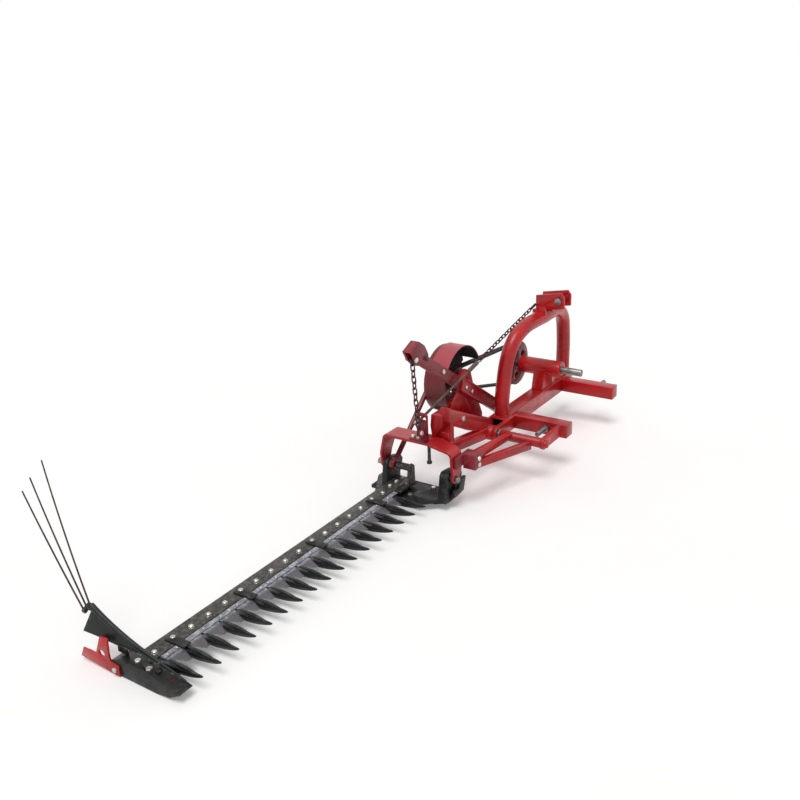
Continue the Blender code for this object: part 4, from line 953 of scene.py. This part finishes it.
bm = bmesh.new()
sheet_into(bm, [board_row(0.02 + 0.98 * i / 32) for i in range(33)], 0.0036)
roll = [at(*top_edge(s)) for s in (1.02, 0.93, 0.82, 0.70, 0.58, 0.46, 0.34, 0.22, 0.10, 0.03)]
tube_into(bm, smooth_path(roll, 5), lambda s: 0.0105 * (1 - s) + 0.0026 * s, 18)
lathe_into(bm, at(0.0430, PIVOT_Y, PIVOT_Z), OUT, [(0.0060, 0.0), (0.0060, 0.0190)], 20)
hanger = ((0.0462, 0.0737), (0.0538, 0.0737), (0.0538, 0.0823), (0.0462, 0.0823))
rings_into(bm, [ring_at_z(z, hanger) for z in (PIVOT_Z, 0.0900)])
piece("swath_board_sheet", bm, BOARD, "swath", ("swath_board",), 40)
# Black disc in the open end of the rolled edge: painted shade.
bm = bmesh.new()
mouth = top_edge(1.02)
lathe_into(bm, at(*mouth), mouth - top_edge(0.97), [(0.0080, -0.002), (0.0080, 0.0003)], 18)
piece("swath_roll_painted_shade", bm, SHADE_BLACK, "swath", smooth=40)

# Skid bracket behind the outer shoe: flat bar with an upright, its hole and its flange
bm = bmesh.new()
bracket = ((-0.250, 0.014), (-0.070, 0.002), (-0.070, 0.040), (-0.106, 0.044), (-0.108, 0.070),
           (-0.103, 0.124), (-0.107, 0.128), (-0.137, 0.124), (-0.141, 0.120), (-0.160, 0.078),
           (-0.172, 0.050), (-0.232, 0.050))
hole = [(-0.141 + 0.0125 * math.cos(t), 0.061 + 0.0125 * math.sin(t)) for t in angles(20)]
plate_into(bm, [ring_at_x(BRACKET_X, bracket), ring_at_x(BRACKET_X, hole)], OUT * BRACKET_T)
flange = ((-0.250, 0.014), (-0.1110, 0.014), (-0.1110, 0.019), (-0.250, 0.019))
rings_into(bm, [ring_at_x(x, flange) for x in (0.052, BRACKET_X + 0.0002)])
piece("skid_bracket_plate", bm, RED, "bar", ("skid_bracket",), 35, 0.0012)

# Swath rods: three bowed spring rods in a clamp. RODS has each one's tip and the depth of its bow.
RODS = (((-0.004, -0.400, 0.617), 0.012), ((0.045, -0.400, 0.579), 0.009), ((0.078, -0.400, 0.548), 0.007))
ROD_BASE, ROD_STEP = Vector((0.046, -0.2145, 0.1905)), Vector((0.012, 0.0015, -0.0045))
bm = bmesh.new()
for k, (tip, bow) in enumerate(RODS):
    base = ROD_BASE + ROD_STEP * k
    sag = Vector((0, -0.5, -0.4)) * bow
    pts = [at(*(base.lerp(Vector(tip), s) + sag * (4 * s * (1 - s)))) for s in (0, 0.2, 0.4, 0.6, 0.8, 1.0)]
    tube_into(bm, smooth_path(pts, 6), lambda s: 0.0030 - 0.0006 * s, 12)
piece("swath_rod_springs", bm, SPRING, "swath", ("swath_rods",), 60)
bm = bmesh.new()
clamp_axis = Vector((0.042, -0.215, 0.192)) - Vector((0.074, -0.211, 0.180))
lathe_into(bm, at(0.074, -0.211, 0.180), clamp_axis,
           [(0.0070, 0.0), (0.0088, 0.0016), (0.0088, 0.0326), (0.0070, 0.0342)], 20)
lathe_into(bm, at(0.058, -0.213, 0.1850), FWD, [(0.0040, 0.0), (0.0040, 0.0260)], 14)
piece("swath_rod_clamp", bm, BLACK, "swath", smooth=40)

# Bright heads and nuts over the plain ones of the castings
bolts("lever_bolts", "lever", ZINC, [
    (on_lever(0.239, 0.004, LEVER_FACE), FWD, 0.0185, 0.0076),
    (on_lever(0.450, -0.004, CHANNEL_FACE), FWD, 0.0185, 0.0062),
    (on_lever(0.506, -0.004, CHANNEL_FACE), FWD, 0.0185, 0.0062)])
bolts("anchor_nuts", "arm", ZINC, [
    ((ANCHOR_FOOT_X, 0.080, ANCHOR_FOOT_TOP), UP, 0.0170, 0.0096),
    ((ANCHOR_FOOT_X, 0.108, ANCHOR_FOOT_TOP), UP, 0.0170, 0.0096),
    ((ANCHOR_X, 0.1480, ANCHOR_Z), FWD, 0.0170, 0.0080)])
bolts("arm_bolts", "arm", ZINC, [
    ((-1.518, 0.2060, 0.327), FWD, 0.0205, 0.0086),
    ((-1.418, 0.3360, 0.216), FWD, 0.0185, 0.0074),
    ((-1.418, 0.3360, 0.190), FWD, 0.0185, 0.0074)])
bolts("shoe_bolts", "bar", ZINC, [
    ((-1.392, 0.136, DECK_TOP), UP, 0.0185, 0.0094),
    ((-1.292, 0.085, DECK_TOP), UP, 0.0185, 0.0094),
    ((0.055, -0.011, BAR_TOP), UP, 0.0185, 0.0084),
    ((0.062, 0.047, 0.0605), UP, 0.0185, 0.0080),
    ((BRACKET_X + BRACKET_T, -0.088, 0.022), OUT, 0.0165, 0.0062)])


# Floor, backdrop and light. The first two look nearly white, and cast less light than they show.
FLOOR_Z, FLOOR_HALF = -HITCH_Z - 0.0012, 60.0
FLOOR_LIFT = 0.16                         # glow that brings the floor up to the backdrop's white
WORLD_LIGHT = 0.50


def white_floor():
    """Matt white with faint patches."""
    s = Shader("floor_matt")
    s.put(s.bsdf.inputs["Emission Color"], (1.0, 1.0, 1.0, 1.0))
    s.put(s.bsdf.inputs["Emission Strength"], s.calc(s.seen(), FLOOR_LIFT))
    colour = s.mix(s.ramp(s.noise(1.5), 0.3, 0.7), (244, 243, 242), (247, 246, 245))
    return s.finish(colour, 0.9, 0.0, 0.1)


def floor():
    """Wide sheet just under the shoes."""
    mesh = bpy.data.meshes.new("floor")
    corners = ((-1, -1), (1, -1), (1, 1), (-1, 1))
    mesh.from_pydata([(x * FLOOR_HALF, y * FLOOR_HALF, FLOOR_Z) for x, y in corners], [], [(0, 1, 2, 3)])
    mesh.materials.append(white_floor())
    ob = bpy.data.objects.new("floor", mesh)
    scene.collection.objects.link(ob)


def backdrop():
    """Even white all round."""
    world = bpy.data.worlds.new("studio")
    scene.world = world
    world.use_nodes = True
    s = Nodes(world.node_tree)
    back = s.tree.nodes["Background"]
    s.put(back.inputs["Strength"], s.ramp(s.seen(), 0.0, 1.0, WORLD_LIGHT, 1.0))
    s.put(back.inputs["Color"], (1.0, 1.0, 1.0, 1.0))


def key_light():
    """Large soft sun, high and leaning towards the camera."""
    lamp = bpy.data.lights.new("key_sun", "SUN")
    lamp.energy = 1.5
    lamp.angle = math.radians(28)
    ob = bpy.data.objects.new("key_sun", lamp)
    ob.rotation_euler = (-Vector((0.9, 0.3, 2.2))).to_track_quat("-Z", "Y").to_euler()
    scene.collection.objects.link(ob)


floor()
backdrop()
key_light()

# Camera, fitted to the photo's view
EYE = Vector((3.638, 1.487, 1.552))
YAW, DOWN, ROLL = math.radians(214.6), math.radians(21.01), math.radians(-2.32)
LENS, SENSOR = 40.365, 36.0               # millimetres
look = Vector((math.cos(DOWN) * math.cos(YAW), math.cos(DOWN) * math.sin(YAW), -math.sin(DOWN)))
flat = Vector((math.sin(YAW), -math.cos(YAW), 0))
rise = flat.cross(look)
right = flat * math.cos(ROLL) + rise * math.sin(ROLL)
top = rise * math.cos(ROLL) - flat * math.sin(ROLL)
camera = bpy.data.cameras.new("photo_view")
camera.lens = LENS
camera.sensor_width = SENSOR
camera.clip_start = 0.05
view = bpy.data.objects.new("photo_view", camera)
view.matrix_world = Matrix(((right.x, top.x, -look.x, EYE.x), (right.y, top.y, -look.y, EYE.y),
                            (right.z, top.z, -look.z, EYE.z), (0, 0, 0, 1)))
scene.collection.objects.link(view)
scene.camera = view
scene.view_settings.view_transform = "Standard"
